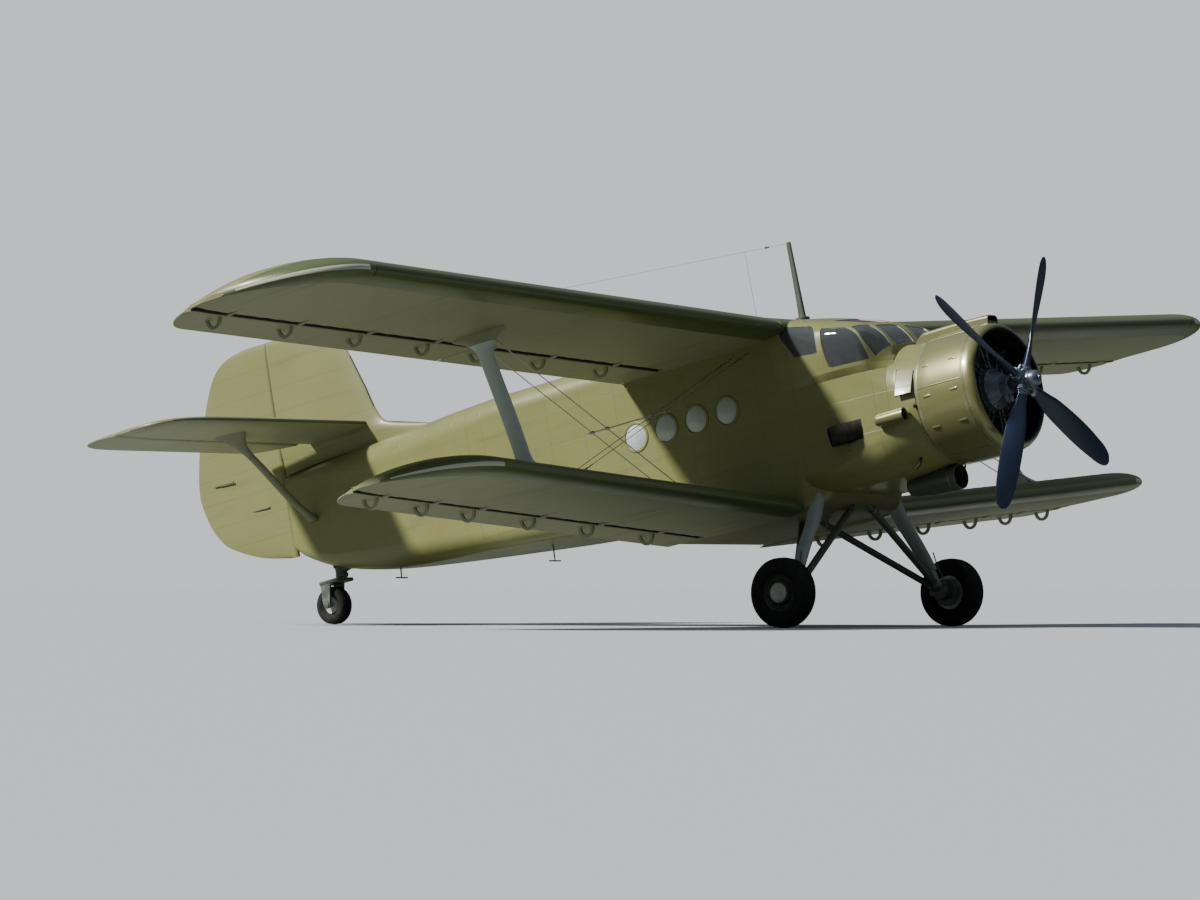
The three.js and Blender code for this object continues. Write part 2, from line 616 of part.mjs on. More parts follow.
// Tailplane outline: [y, leading edge x, trailing edge x, half thickness]
const TAILPLANE = [
  [20, -9500, -11250, 88], [2700, -9545, -11250, 70], [3150, -9590, -11215, 56], [3400, -9700, -11110, 44],
  [3530, -9870, -10960, 32], [3600, -10200, -10720, 18],
];
const ELEV_PINS = [800, 3000];
const elevatorLug = (y) => [
  box(ELEV_HINGE - 18, ELEV_X + 60, y - 13, y + 13, STAB_Z - 13, STAB_Z + 13),
  bar([ELEV_HINGE, y - PIN_HALF, STAB_Z], [ELEV_HINGE, y + PIN_HALF, STAB_Z], PIN_R, PIN_R, PIN_SIDES),
];
const elevatorRoom = (y) => [
  box(ELEV_HINGE - 36, ELEV_X, y - 21, y + 21, STAB_Z - 90, STAB_Z + 90),
  bar([ELEV_HINGE, y - ROOM_HALF, STAB_Z], [ELEV_HINGE, y + ROOM_HALF, STAB_Z], PIN_BORE, PIN_BORE, PIN_SIDES),
];
const stabiliser = loft(TAILPLANE.map(([y, x, , t]) => {
  const c = x - ELEV_X;
  const half = [[x, 0], [x - c * 0.08, t * 0.6], [x - c * 0.35, t], [ELEV_X, t * 0.86]];
  return [
    ...half.map(([px, pz]) => [px, y, STAB_Z + pz]),
    ...half.slice(1).reverse().map(([px, pz]) => [px, y, STAB_Z - pz]),
  ];
}));
const portStabiliser = join(
  cut(stabiliser, finLoft(FIT), mirrored(finLoft(FIT))), ...ELEV_PINS.flatMap(elevatorLug),
);
addPair("stabiliser", portStabiliser, "olive");
const elevatorRows = [[250, -9500, -11250, 86], ...TAILPLANE.slice(1, 5), [3585, -10100, -10790, 22]];
const elevatorBody = loft(elevatorRows.map(([y, , x, t]) => {
  const r0 = Math.min(t * 0.8, 52);
  const nose = [90, 130, 180, 230, 270].map((deg) => {
    const r = THREE.MathUtils.degToRad(deg);
    return [ELEV_HINGE - Math.cos(r) * r0, y, STAB_Z + Math.sin(r) * t * 0.8];
  });
  return [[x, y, STAB_Z + 6], ...nose, [x, y, STAB_Z - 6]];
}));
addPair("elevator", cut(elevatorBody, ...ELEV_PINS.flatMap(elevatorRoom)), "olive");

// Struts are lofted upright: [x centre, y, z, chord, thickness]
function strut(rows, sides = 12) {
  return loft(rows.map(([x, y, z, chord, thick]) => [...Array(sides).keys()].map((k) => {
    const t = (k / sides) * Math.PI * 2;
    return [x + Math.cos(t) * chord / 2, y + Math.sin(t) * thick / 2, z];
  })));
}
const tailStrut = strut([
  [-10480, 120, 660, 190, 200], [-10470, 330, 780, 120, 120], [-10180, 1500, 1370, 105, 110],
  [-10100, 1830, 1530, 240, 150], [-10060, 2010, 1640, 520, 220],
]);
const stabLowered = portStabiliser.clone().translate(0, 0, -FIT);
addPair("tail_strut", cut(tailStrut, stabLowered, bodyGrown), "olive");

// One wide strut joins the wings on each side, flared into both
const upperSeat = upperWing.clone().translate(0, 0, -FIT);
const lowerSeat = lowerWing.clone().translate(0, 0, FIT);
const planeStrut = strut([
  [-3460, STRUT_Y, -600, 640, 120], [-3460, STRUT_Y, -400, 600, 110], [-3480, STRUT_Y, -290, 330, 84],
  [-3500, STRUT_Y, -150, 215, 72], [-3760, STRUT_Y, 1020, 215, 72], [-3790, STRUT_Y, 1150, 330, 84],
  [-3830, STRUT_Y, 1290, 780, 110], [-3840, STRUT_Y, 1420, 860, 120],
]);
const strutSeated = cut(planeStrut, upperSeat, lowerSeat);
const pitot = bar([-3620, STRUT_Y, 470], [-2950, STRUT_Y, 450], 17, 12, 8);
add("interplane_strut_left", join(strutSeated, pitot), "strut");
add("interplane_strut_right", mirrored(strutSeated), "strut");

// Paired flying and landing wires, tied where they cross by a rod along the body
const WIRES = [
  [[-4150, 800, -720], [-4080, 4790, 1400]],
  [[-3930, 800, -720], [-3860, 4790, 1400]],
  [[-3180, 4760, -560], [-3300, 800, 1060]],
  [[-2990, 4760, -560], [-3080, 800, 1060]],
];
const spreader = bar([-4170, 2693, 286], [-2985, 2693, 286], 16, 16, 8);
const wires = WIRES.map(([from, to]) => bar(from, to, 14, 14, 6));
const belly = bellyLoft(2 * FIT);
addPair("bracing_wires", cut(join(spreader, ...wires), upperSeat, lowerSeat, bodyGrown, belly), "strut");

// Main gear: a vee of tubes from the keel, a wide shock strut from the root, knuckle and axle
const [AX, AY, AZ] = MAIN_AXLE;
const knuckleY = AY - TYRE_W / 2 - 75;
const knuckle = [AX, knuckleY, AZ];
const shock = strut([
  [-2560, 720, -700, 330, 150], [-2560, 830, -960, 300, 140], [-2575, 1150, -1380, 250, 120],
  [-2578, 1330, -1640, 170, 110], [-2580, knuckleY - 20, AZ - 20, 150, 105],
]);
const gearLeg = join(
  bar([-3240, 110, -880], knuckle, 46, 40, 8),
  bar([-2480, 110, -860], knuckle, 50, 44, 8),
  shock,
  bar([AX, knuckleY - 60, AZ], [AX, knuckleY + 50, AZ], 95, 85, 10),
  bar([AX, knuckleY, AZ], [AX, AY + 60, AZ], 34, 34, 12),
);
addPair("gear_leg", cut(gearLeg, bellyLoft(2 * FIT), bodyLoft(-1020, -10930, -5)), "strut");

// Wheels, turned about their axle
function wheelAbout(profile, centre, sides) {
  const points = profile.map(([y, r]) => new THREE.Vector2(r, y));
  return new THREE.LatheGeometry([...points, points[0]], sides).translate(...centre);
}
const h = TYRE_W / 2;
const RIM_R = 205;
const AXLE_BORE = 35;
const tyreProfile = [
  [-h * 0.62, RIM_R], [-h, 300], [-h * 0.8, 370], [-h * 0.35, TYRE_R], [h * 0.35, TYRE_R], [h * 0.8, 370],
  [h, 300], [h * 0.62, RIM_R],
];
addPair("main_tyre", wheelAbout(tyreProfile, MAIN_AXLE, 28), "tyre");
const hubProfile = [
  [-h * 0.6, AXLE_BORE], [-h * 0.5, RIM_R - FIT - 1], [h * 0.6, RIM_R - FIT - 1], [h * 0.42, 150],
  [h * 0.72, 118], [h * 0.84, 60], [h * 0.84, 0], [h * 0.6, 0], [h * 0.6, AXLE_BORE],
];
addPair("main_hub", weld(wheelAbout(hubProfile, MAIN_AXLE, 20)), "hub");

// Tailwheel: a fixed socket under the stern, the swivelling fork and the wheel
const [TX, , TZ] = TAIL_AXLE;
const SWIVEL_X = TX + 200;
const SWIVEL_TOP = -70;
const socket = join(
  bar([SWIVEL_X, 0, SWIVEL_TOP], [SWIVEL_X, 0, 260], 75, 120, 10),
  bar([SWIVEL_X + 20, 0, SWIVEL_TOP + 90], [SWIVEL_X + 420, 0, 150], 50, 60, 8),
);
add("tail_gear_socket", cut(socket, bodyGrown), "strut");
const th = TAIL_TYRE_W / 2;
const legY = th + 32;
const forkTop = TZ + TAIL_TYRE_R + 30;
const fork = join(
  bar([SWIVEL_X, 0, SWIVEL_TOP - FIT], [SWIVEL_X, 0, forkTop - 10], 62, 62, 14),
  box(TX - 70, SWIVEL_X + 55, -legY - 20, legY + 20, forkTop - 6, forkTop + 40),
  ...[-1, 1].map((side) => box(TX - 55, TX + 60, side * legY - 18, side * legY + 18, TZ - 40, forkTop + 20)),
);
add("tail_fork", fork, "strut");
const tailTyre = wheelAbout([
  [-th * 0.55, 0], [-th * 0.55, 95], [-th, 150], [-th * 0.8, 205], [-th * 0.3, TAIL_TYRE_R],
  [th * 0.3, TAIL_TYRE_R], [th * 0.8, 205], [th, 150], [th * 0.55, 95], [th * 0.55, 0],
], TAIL_AXLE, 20);
const tailAxle = bar([TX, -legY + 18 + FIT, TZ], [TX, legY - 18 - FIT, TZ], 22, 22, 10);
add("tail_wheel", join(weld(tailTyre), tailAxle), "tyre");

// Propeller: hub barrel and dome with four blades, each turned to its own pitch
// [radius, chord, thickness, blade angle in degrees]
const BLADE = [
  [90, 120, 110, 50], [300, 150, 84, 44], [640, 240, 46, 34], [1150, 278, 28, 24], [1550, 240, 20, 18],
  [1710, 150, 13, 17], [PROP_R, 50, 9, 16],
];
const REST_TURN = 58;
function bladeBody(turn) {
  const rings = BLADE.map(([r, chord, thick, pitch]) => {
    const b = THREE.MathUtils.degToRad(pitch);
    return [...Array(8).keys()].map((k) => {
      const t = (k / 8) * Math.PI * 2;
      const [c, n] = [Math.cos(t) * chord / 2 + chord * 0.06, Math.sin(t) * thick / 2];
      return [c * Math.sin(b) + n * Math.cos(b), c * -Math.cos(b) + n * Math.sin(b), r];
    });
  });
  return loft(rings).rotateX(THREE.MathUtils.degToRad(turn - 90));
}
const barrel = turned([
  [-155 + FIT, 0], [-155 + FIT, 80], [-95, 90], [-88, 135], [78, 135], [88, 112], [150, 108], [205, 86],
  [240, 0],
], 16);
add("propeller", join(barrel, ...[0, 1, 2, 3].map((k) => bladeBody(REST_TURN + 90 * k))), "blade");

// Mast on the roof behind the canopy
const mastRaw = strut([[-2842, 0, 1330, 150, 110], [-2842, 0, 1440, 100, 60], [-2856, 0, 2336, 62, 34]], 10);
add("antenna_mast", cut(mastRaw, sectionBlock(UPPER, ROOT_Y, FIT)), "strut");

// Cabin inside: floor with the cockpit bulkhead, seats and instrument panel
const insideTub = bodyLoft(-1352, -7318, WALL + FIT);
const floor = join(
  box(-7316, -1354, -900, 900, -300, -270),
  cut(box(-3120, -3080, -900, 900, -280, 1400), box(-3200, -3000, -300, 300, -265, 1000)),
);
add("cabin_floor", cut(common(floor, insideTub), sectionBlock(UPPER, ROOT_Y + 20, FIT),
  box(-7000, -1300, 818.5, 900, WINDOW_Z - 190, WINDOW_Z + 190),
  box(-7000, -1300, -900, -818.5, WINDOW_Z - 190, WINDOW_Z + 190)), "inside");
const seatSide = (y) => [
  box(-2700, -2250, y - 220, y + 220, 40, 150),
  box(-2760, -2640, y - 210, y + 210, 100, 760),
  box(-2560, -2380, y - 60, y + 60, -270 + FIT, 60),
];
add("cockpit_seats", join(...seatSide(-420), ...seatSide(420), box(-2500, -2440, -420, 420, 60, 100)), "seat");
add("instrument_panel", join(
  box(-1540, -1480, -600, 600, 150, 640),
  box(-1540, -1380, -560, 560, 600, 640),
  box(-1530, -1490, -60, 60, -270 + FIT, 200),
), "seat");

// Cargo door hinged along its top, with the entry door inside it
const G = 8;
const [DIN, DOUT] = [885 - WALL + 2, 884];
const doorPanel = cut(
  box(CARGO.x0 + G, CARGO.x1 - G, DIN, DOUT, CARGO.z0 + G, CARGO.z1 - G),
  box(ENTRY.x0, ENTRY.x1, 700, 1000, ENTRY.z0, ENTRY.z1),
);
// Entry door hinges on its inner front edge
const ENTRY_HINGES = [120, 800];
const EY = DIN - 13;
const EX = ENTRY.x1;
const stileKnuckle = (z) => [-1, 1].flatMap((side) => {
  const [lo, hi] = [Math.min(z + side * 50.5, z + side * 85), Math.max(z + side * 50.5, z + side * 85)];
  return [bar([EX, EY, lo], [EX, EY, hi], 10, 10, 6), box(EX + 3, EX + 70, EY + 4, DIN + 2, lo, hi)];
});
const entryKnuckle = (z) => [
  bar([EX, EY, z - 50], [EX, EY, z + 50], 10, 10, 6), box(EX - 70, EX - 3, EY + 4, DIN + 2, z - 50, z + 50),
];
const cargoDoor = join(doorPanel, ...CARGO_HINGES.flatMap(doorKnuckle), ...ENTRY_HINGES.flatMap(stileKnuckle));
add("cargo_door", cargoDoor, "olive");
const entryMid = (ENTRY.x0 + ENTRY.x1) / 2;
const entryPanel = cut(
  box(ENTRY.x0 + G, ENTRY.x1 - G, DIN, DOUT, ENTRY.z0 + G, ENTRY.z1 - G),
  bar([entryMid, 700, WINDOW_Z], [entryMid, 1000, WINDOW_Z], WINDOW_R, WINDOW_R, 12),
);
add("entry_door", join(entryPanel, ...ENTRY_HINGES.flatMap(entryKnuckle)), "olive");
const entryPane = bar([entryMid, DIN + 6, WINDOW_Z], [entryMid, DOUT - 6, WINDOW_Z], WINDOW_R - 1, WINDOW_R - 1, 12);
add("entry_door_glass", entryPane, "glass");

// Parked attitude: both tyres on the floor, then the whole centred on its bounding box
const mainLow = [MAIN_AXLE[0], MAIN_AXLE[2]];
const tailLow = [TAIL_AXLE[0], TAIL_AXLE[2]];
const reach = Math.hypot(mainLow[0] - tailLow[0], mainLow[1] - tailLow[1]);
const slope = Math.atan2(tailLow[1] - mainLow[1], mainLow[0] - tailLow[0]);
export const pitch = slope + Math.asin((TYRE_R - TAIL_TYRE_R) / reach);
const rotate = new THREE.Matrix4().makeRotationY(-pitch);
const bounds = new THREE.Box3();
for (const piece of pieces) {
  const whole = weld(piece.geometry);
  whole.applyMatrix4(rotate);
  whole.computeBoundingBox();
  bounds.union(whole.boundingBox);
  piece.geometry = whole;
}
const axleHigh = new THREE.Vector3(...MAIN_AXLE).applyMatrix4(rotate).z;
const shift = [-(bounds.min.x + bounds.max.x) / 2, 0, TYRE_R - axleHigh];
export const parked = new THREE.Matrix4().makeTranslation(...shift).multiply(rotate);
for (const { name, geometry, paint } of pieces) {
  geometry.translate(...shift);
  geometry.computeVertexNormals();
  const [color, roughness, metalness] = paint;
  const material = new THREE.MeshStandardMaterial({ color, roughness, metalness });
  if (paint === PAINT.glass) {
    material.transparent = true;
    material.opacity = 0.4;
  }
  const mesh = new THREE.Mesh(geometry, material);
  mesh.name = name;
  group.add(mesh);
}

export default group;
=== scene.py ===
# %% [markdown]
# # A utility biplane, dressed around its solids
#
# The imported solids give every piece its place, its joints and its collision. This lesson keeps them
# as a fixed frame and builds the finer surfaces that the eye sees: smooth skins in place of faceted
# ones, ribs under doped cloth, a finned radial engine, glazing, brackets, wires and wheels.
# Everything is in metres. Loading the frame comes first, because later pieces ask it for places.

# %% Load the solids
import json
import random
from collections import namedtuple
from math import asin, atan2, ceil, copysign, cos, degrees, floor, hypot, pi, radians, sin, sqrt, tan, tau

import bmesh
import bpy
from mathutils import Matrix, Vector


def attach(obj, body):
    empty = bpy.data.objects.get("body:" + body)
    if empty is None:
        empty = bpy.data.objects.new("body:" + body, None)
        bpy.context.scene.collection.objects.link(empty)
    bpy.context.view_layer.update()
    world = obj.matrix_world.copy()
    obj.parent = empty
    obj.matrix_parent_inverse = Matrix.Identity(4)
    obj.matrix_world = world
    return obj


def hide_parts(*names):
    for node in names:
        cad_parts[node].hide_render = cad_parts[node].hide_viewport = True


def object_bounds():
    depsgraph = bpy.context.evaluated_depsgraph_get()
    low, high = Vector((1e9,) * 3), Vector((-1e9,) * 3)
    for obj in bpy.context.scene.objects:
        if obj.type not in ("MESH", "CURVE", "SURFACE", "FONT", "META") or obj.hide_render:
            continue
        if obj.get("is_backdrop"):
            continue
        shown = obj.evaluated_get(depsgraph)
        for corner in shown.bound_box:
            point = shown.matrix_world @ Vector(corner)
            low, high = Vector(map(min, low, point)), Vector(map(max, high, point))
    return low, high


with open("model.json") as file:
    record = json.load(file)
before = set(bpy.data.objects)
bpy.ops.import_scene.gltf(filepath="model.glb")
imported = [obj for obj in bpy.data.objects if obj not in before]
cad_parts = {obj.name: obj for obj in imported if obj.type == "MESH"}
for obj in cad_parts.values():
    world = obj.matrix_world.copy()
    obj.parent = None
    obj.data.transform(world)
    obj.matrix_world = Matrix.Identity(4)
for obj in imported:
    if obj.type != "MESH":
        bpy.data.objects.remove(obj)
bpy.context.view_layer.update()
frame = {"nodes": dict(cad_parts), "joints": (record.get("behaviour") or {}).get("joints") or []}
scene = bpy.context.scene
random.seed(7)

# %% [markdown]
# ## Flight axes
# The aircraft stands tail down, but its lines are drawn level. So every shape here is drawn in flight
# axes, x to the nose, y to port and z up, from the middle of the propeller, and is turned into the
# parked attitude at the end. The propeller's own joint gives both the origin and the direction. NOSE,
# PORT and UP are the flight axes as they stand when parked, while shapes use AHEAD, PORT and ABOVE.

# %% Flight axes from the propeller joint
spin = next(joint for joint in frame["joints"] if joint["name"] == "propeller_spin")
ORIGIN = Vector(spin["pos_m"])
NOSE = Vector(spin["axis"]).normalized()
PORT = Vector((0, 1, 0))
UP = NOSE.cross(PORT)
AHEAD = Vector((1, 0, 0))
ABOVE = Vector((0, 0, 1))
TO_ROW = Matrix.Translation(ORIGIN) @ Matrix((NOSE, PORT, UP)).transposed().to_4x4()
print("parked pitch in degrees:", round(degrees(asin(NOSE.z)), 2))

# %% [markdown]
# ## Making meshes
# A few small makers cover nearly all of an aircraft: a loft through rings, a turned body, a bent tube
# and a block with softened edges. They could be Blender's own primitives, but a list of rings says
# exactly where a skin runs, and the same few lines then serve wings, struts and blades alike.

# %% Lofts, turned bodies, tubes and blocks


def add_object(mesh):
    obj = bpy.data.objects.new("part", mesh)
    scene.collection.objects.link(obj)
    return obj


def from_bmesh(bm, mesh=None):
    mesh = mesh or bpy.data.meshes.new("part")
    bm.to_mesh(mesh)
    bm.free()
    return add_object(mesh)


def sheet(verts, faces, near=1e-6):
    """A mesh with its doubled points joined and its faces looking outwards."""
    mesh = bpy.data.meshes.new("part")
    mesh.from_pydata([tuple(v) for v in verts], [], faces)
    bm = bmesh.new()
    bm.from_mesh(mesh)
    bmesh.ops.remove_doubles(bm, verts=bm.verts, dist=near)
    bmesh.ops.recalc_face_normals(bm, faces=bm.faces)
    return from_bmesh(bm, mesh)


def loft(rings):
    """A closed skin through rings of points, capped at both ends."""
    count = len(rings[0])
    faces = []
    for a in range(0, (len(rings) - 1) * count, count):
        for k in range(count):
            b = (k + 1) % count
            faces.append((a + k, a + b, a + b + count, a + k + count))
    faces.append(tuple(range(count))[::-1])
    faces.append(tuple(range((len(rings) - 1) * count, len(rings) * count)))
    return sheet([p for ring in rings for p in ring], faces)


def basis(axis):
    """Two directions square to an axis."""
    axis = Vector(axis).normalized()
    side = axis.cross(ABOVE if abs(axis.z) < 0.9 else AHEAD).normalized()
    return side, axis.cross(side)


def turns(count, start=0.0):
    """Angles spaced evenly round a circle."""
    return [start + tau * k / count for k in range(count)]


def even(start, end, steps):
    """Evenly spaced values, both ends included."""
    return [start + (end - start) * k / steps for k in range(steps + 1)]


def arc(start, end, steps):
    """Angles from start to end in degrees, given back in radians."""
    return [radians(angle) for angle in even(start, end, steps)]


def both_ways(half):
    """A symmetric profile from its first half."""
    return [*half, *[(-a, r) for a, r in reversed(half)]]


def turned(profile, centre=(0, 0, 0), axis=(1, 0, 0), sides=32):
    """A body turned about an axis from (distance along it, radius) pairs."""
    axis = Vector(axis).normalized()
    side, over = basis(axis)
    verts = []
    for t in turns(sides):
        out = side * cos(t) + over * sin(t)
        verts += [Vector(centre) + axis * a + out * r for a, r in profile]
    n = len(profile)
    faces = []
    for k in range(sides):
        here, there = k * n, (k + 1) % sides * n
        for i in range(n):
            j = (i + 1) % n
            if profile[i][1] or profile[j][1]:
                faces.append((here + i, here + j, there + j, there + i))
    return sheet(verts, faces, 1e-5)


def tube(points, radius, sides=10, flat=1.0):
    """A round or flattened bar along a path; radius is one number or one for each point."""
    points = [Vector(p) for p in points]
    radii = radius if isinstance(radius, list) else [radius] * len(points)
    side = basis(points[1] - points[0])[0]
    rings = []
    for k, p in enumerate(points):
        ahead = (points[min(k + 1, len(points) - 1)] - points[max(k - 1, 0)]).normalized()
        side = (side - ahead * side.dot(ahead)).normalized()
        over = ahead.cross(side)
        rings.append([p + (side * cos(t) + over * flat * sin(t)) * radii[k] for t in turns(sides)])
    return loft(rings)


def block(low, high, soft=0.0):
    """A box between two corners, its edges softened by a bevel."""
    bm = bmesh.new()
    bmesh.ops.create_cube(bm, size=1)
    for vert in bm.verts:
        vert.co = Vector([(a + b) / 2 + c * (b - a) for a, b, c in zip(low, high, vert.co)])
    if soft:
        bmesh.ops.bevel(bm, geom=bm.edges[:], offset=soft, segments=3, affect="EDGES", profile=0.5)
    return from_bmesh(bm)


def drum(centre, axis, radius, length, sides=48):
    """A plain disc or drum about an axis, used as a cutter or under other parts."""
    h = length / 2
    return turned([(-h, 0), (-h, radius), (h, radius), (h, 0)], centre, axis, sides)


def stud(spot, axis, radius, height, sides=6):
    """A nut, a bolt head or a screw with a rounded top."""
    profile = [(0, 0), (0, radius), (height * 0.8, radius), (height, radius * 0.6), (height, 0)]
    return turned(profile, spot, axis, sides)


def stud_circle(centre, axis, across, count, radius, height, sides=6):
    """Studs spaced evenly round an axis."""
    side, over = basis(axis)
    spots = [Vector(centre) + (side * cos(t) + over * sin(t)) * across for t in turns(count)]
    return [stud(spot, axis, radius, height, sides) for spot in spots]


# %% [markdown]
# ## Joining, cutting and dressing
# Windows, bays and door openings are cut with Boolean modifiers, applied at once so that the mesh is
# final. Dressing a piece means painting it, turning it into the parked attitude, smoothing it, and
# hanging it on the body that carries it. Most pieces come in pairs, so one function does both sides.

# %% Join, cut, mirror and dress


def merge(parts):
    """One object from several, each face keeping its material number."""
    if not isinstance(parts, list):
        return parts
    bm = bmesh.new()
    for part in parts:
        bm.from_mesh(part.data)
    for part in parts:
        bpy.data.objects.remove(part)
    return from_bmesh(bm)


def carve(obj, *tools):
    """Cuts the tools out of the object and throws them away."""
    for tool in tools:
        cutter = obj.modifiers.new("cut", "BOOLEAN")
        cutter.operation = "DIFFERENCE"
        cutter.solver = "MANIFOLD"
        cutter.object = tool
    bpy.context.view_layer.update()
    seen = obj.evaluated_get(bpy.context.evaluated_depsgraph_get())
    mesh = bpy.data.meshes.new_from_object(seen)
    obj.modifiers.clear()
    obj.data = mesh
    for tool in tools:
        bpy.data.objects.remove(tool)
    return obj


def paint_faces(obj, rule):
    """Numbers each face's finish by its middle and its normal."""
    for face in obj.data.polygons:
        face.material_index = int(rule(face.center, face.normal))
    return obj


def dress(parts, name, finishes, node="", body="airframe", sharp=32, rule=None):
    """Paints a piece with the named finishes, parks it and hangs it on its body."""
    obj = merge(parts)
    obj.name = name
    if rule:
        paint_faces(obj, rule)
    mesh = obj.data
    numbers = [face.material_index for face in mesh.polygons]
    mesh.transform(TO_ROW)
    mesh.materials.clear()
    for finish in finishes.split():
        mesh.materials.append(bpy.data.materials[finish])
    mesh.polygons.foreach_set("material_index", numbers)
    mesh.polygons.foreach_set("use_smooth", [True] * len(numbers))
    mesh.set_sharp_from_angle(angle=radians(sharp))
    obj.modifiers.new("shade", "WEIGHTED_NORMAL").keep_sharp = True
    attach(obj, body)
    if node:
        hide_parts(node)
    print(name, "on", body, "with", len(numbers), "faces")
    return obj


def dress_pair(parts, name, finishes, node="", body="airframe", sharp=32, rule=None):
    """The port piece and its mirror image; the word side in a body or node becomes left or right."""
    port = merge(parts)
    if rule:
        paint_faces(port, rule)
    mesh = port.data.copy()
    mesh.transform(Matrix.Scale(-1, 4, (0, 1, 0)))
    mesh.flip_normals()
    for obj, side in ((port, "left"), (add_object(mesh), "right")):
        replaced, carrier = [word.replace("side", side) for word in (node, body)]
        dress(obj, f"{name}_{side}", finishes, replaced, carrier, sharp)


# %% [markdown]
# ## Shader helpers
# Materials and the surrounding light are node trees. Wiring nodes by hand takes many lines, so a small
# class adds a node, sets its sockets and returns its outputs. Effects that several finishes share, such
# as seams, rivets and fading, become node groups, built once and given their own values each time.

# %% A short way to wire nodes


class Wiring:
    def __init__(self, tree):
        self.tree = tree

    def feed(self, inputs, sockets):
        """Links each named socket to another node's output, or sets its plain value."""
        for key, value in sockets.items():
            if isinstance(value, bpy.types.NodeSocket):
                self.tree.links.new(value, inputs[key])
            else:
                inputs[key].default_value = value

    def add(self, kind, sockets, **settings):
        node = self.tree.nodes.new("ShaderNode" + kind)
        for key, value in settings.items():
            setattr(node, key, value)
        self.feed(node.inputs, sockets)
        return node.outputs

    def maths(self, operation, *values):
        return self.add("Math", dict(enumerate(values)), operation=operation)[0]

    def vector(self, operation, *values):
        return self.add("VectorMath", dict(enumerate(values)), operation=operation)

    def ramp(self, value, low, high, out_low=0.0, out_high=1.0, kind="SMOOTHSTEP"):
        labels = ("Value", "From Min", "From Max", "To Min", "To Max")
        sockets = dict(zip(labels, (value, low, high, out_low, out_high)))
        return self.add("MapRange", sockets, interpolation_type=kind)[0]

    def mix(self, share, first, second, blend="MIX"):
        return self.add("Mix", {0: share, 6: first, 7: second}, data_type="RGBA", blend_type=blend)[2]

    def noise(self, place, scale, detail=3.0, rough=0.55):
        sockets = {"Vector": place, "Scale": scale, "Detail": detail, "Roughness": rough}
        return self.add("TexNoise", sockets)[0]

    def use(self, group, **sockets):
        return self.add("Group", sockets, node_tree=group)


KINDS = {float: "Float", tuple: "Color", type(None): "Vector"}


def shader_group(name, outputs, **inputs):
    """An empty node group; a colour is given as four numbers, and a vector as None."""
    tree = bpy.data.node_groups.new(name, "ShaderNodeTree")
    for label, value in inputs.items():
        kind = "NodeSocket" + KINDS[type(value)]
        socket = tree.interface.new_socket(label, in_out="INPUT", socket_type=kind)
        if value is not None:
            socket.default_value = value
    for label in outputs.split():
        kind = {"Color": "Color", "Place": "Vector"}.get(label, "Float")
        tree.interface.new_socket(label, in_out="OUTPUT", socket_type="NodeSocket" + kind)
    given = tree.nodes.new("NodeGroupInput").outputs
    made = tree.nodes.new("NodeGroupOutput").inputs
    return tree, Wiring(tree), given, made


# %% [markdown]
# ## Camera, floor and light
# The photograph was taken from the ground with a long lens, ahead of the starboard wing. A long lens
# from far away keeps the wings nearly parallel. A nearer camera with a short lens would swell the nose,
# so the real distance and lens are used, with the camera at floor level and the aircraft upright.
#
# A soft sun stands to the left of the camera, where the shadows of wing and tail on the body say it
# was, and the light from above dims towards the horizon. The camera sees a plain backdrop instead. The
# Light Path node tells the two apart.

# %% Camera, lights and floor
CAMERA_SIDE = radians(37.7)
CAMERA_FAR = 70.3
CAMERA_HIGH = 0.49
LENS, SENSOR = 176.5, 36
LOOK_AT = Vector((0.0, 0.0, 2.1))
FLOOR_RADIUS = 2000
BACKDROP = (0.76, 0.79, 0.82, 1)
AMBIENT = (0.78, 0.86, 0.96, 1)
AMBIENT_LOW, AMBIENT_HIGH = 0.06, 0.4
SUN_FROM = Vector((-0.47, -0.62, 0.63))
SUN_COLOUR = (1.0, 0.985, 0.94)
SUN_POWER = 6.6
SUN_SPREAD = radians(6)

camera = bpy.data.objects.new("camera", bpy.data.cameras.new("camera"))
scene.collection.objects.link(camera)
camera.data.sensor_width = SENSOR
camera.data.lens = LENS
camera.data.clip_end = 3 * FLOOR_RADIUS
camera.location = (CAMERA_FAR * sin(CAMERA_SIDE), -CAMERA_FAR * cos(CAMERA_SIDE), CAMERA_HIGH)
camera.rotation_euler = (LOOK_AT - camera.location).to_track_quat("-Z", "Y").to_euler()
scene.camera = camera

world = bpy.data.worlds.new("studio")
world.use_nodes = True
scene.world = world
w = Wiring(world.node_tree)
ambient = world.node_tree.nodes["Background"]
height = w.add("SeparateXYZ", {0: w.add("TexCoord", {})["Generated"]})["Z"]
strength = w.ramp(height, 0.0, 0.9, AMBIENT_LOW, AMBIENT_HIGH, "LINEAR")
w.feed(ambient.inputs, {"Color": AMBIENT, "Strength": strength})
seen = w.add("LightPath", {})["Is Camera Ray"]
backdrop = w.add("Background", {0: BACKDROP})[0]
studio = w.add("MixShader", {0: seen, 1: ambient.outputs[0], 2: backdrop})
w.feed(world.node_tree.nodes["World Output"].inputs, {"Surface": studio[0]})

lamp = bpy.data.lights.new("key_sun", "SUN")
lamp.energy = SUN_POWER
lamp.angle = SUN_SPREAD
lamp.color = SUN_COLOUR
key_sun = bpy.data.objects.new("key_sun", lamp)
key_sun.rotation_euler = SUN_FROM.to_track_quat("Z", "Y").to_euler()
scene.collection.objects.link(key_sun)

bpy.ops.mesh.primitive_circle_add(vertices=96, radius=FLOOR_RADIUS, fill_type="NGON")
ground = bpy.context.object
ground.name = "studio_floor"
ground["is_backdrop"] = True
print("camera at", [round(v, 2) for v in camera.location])

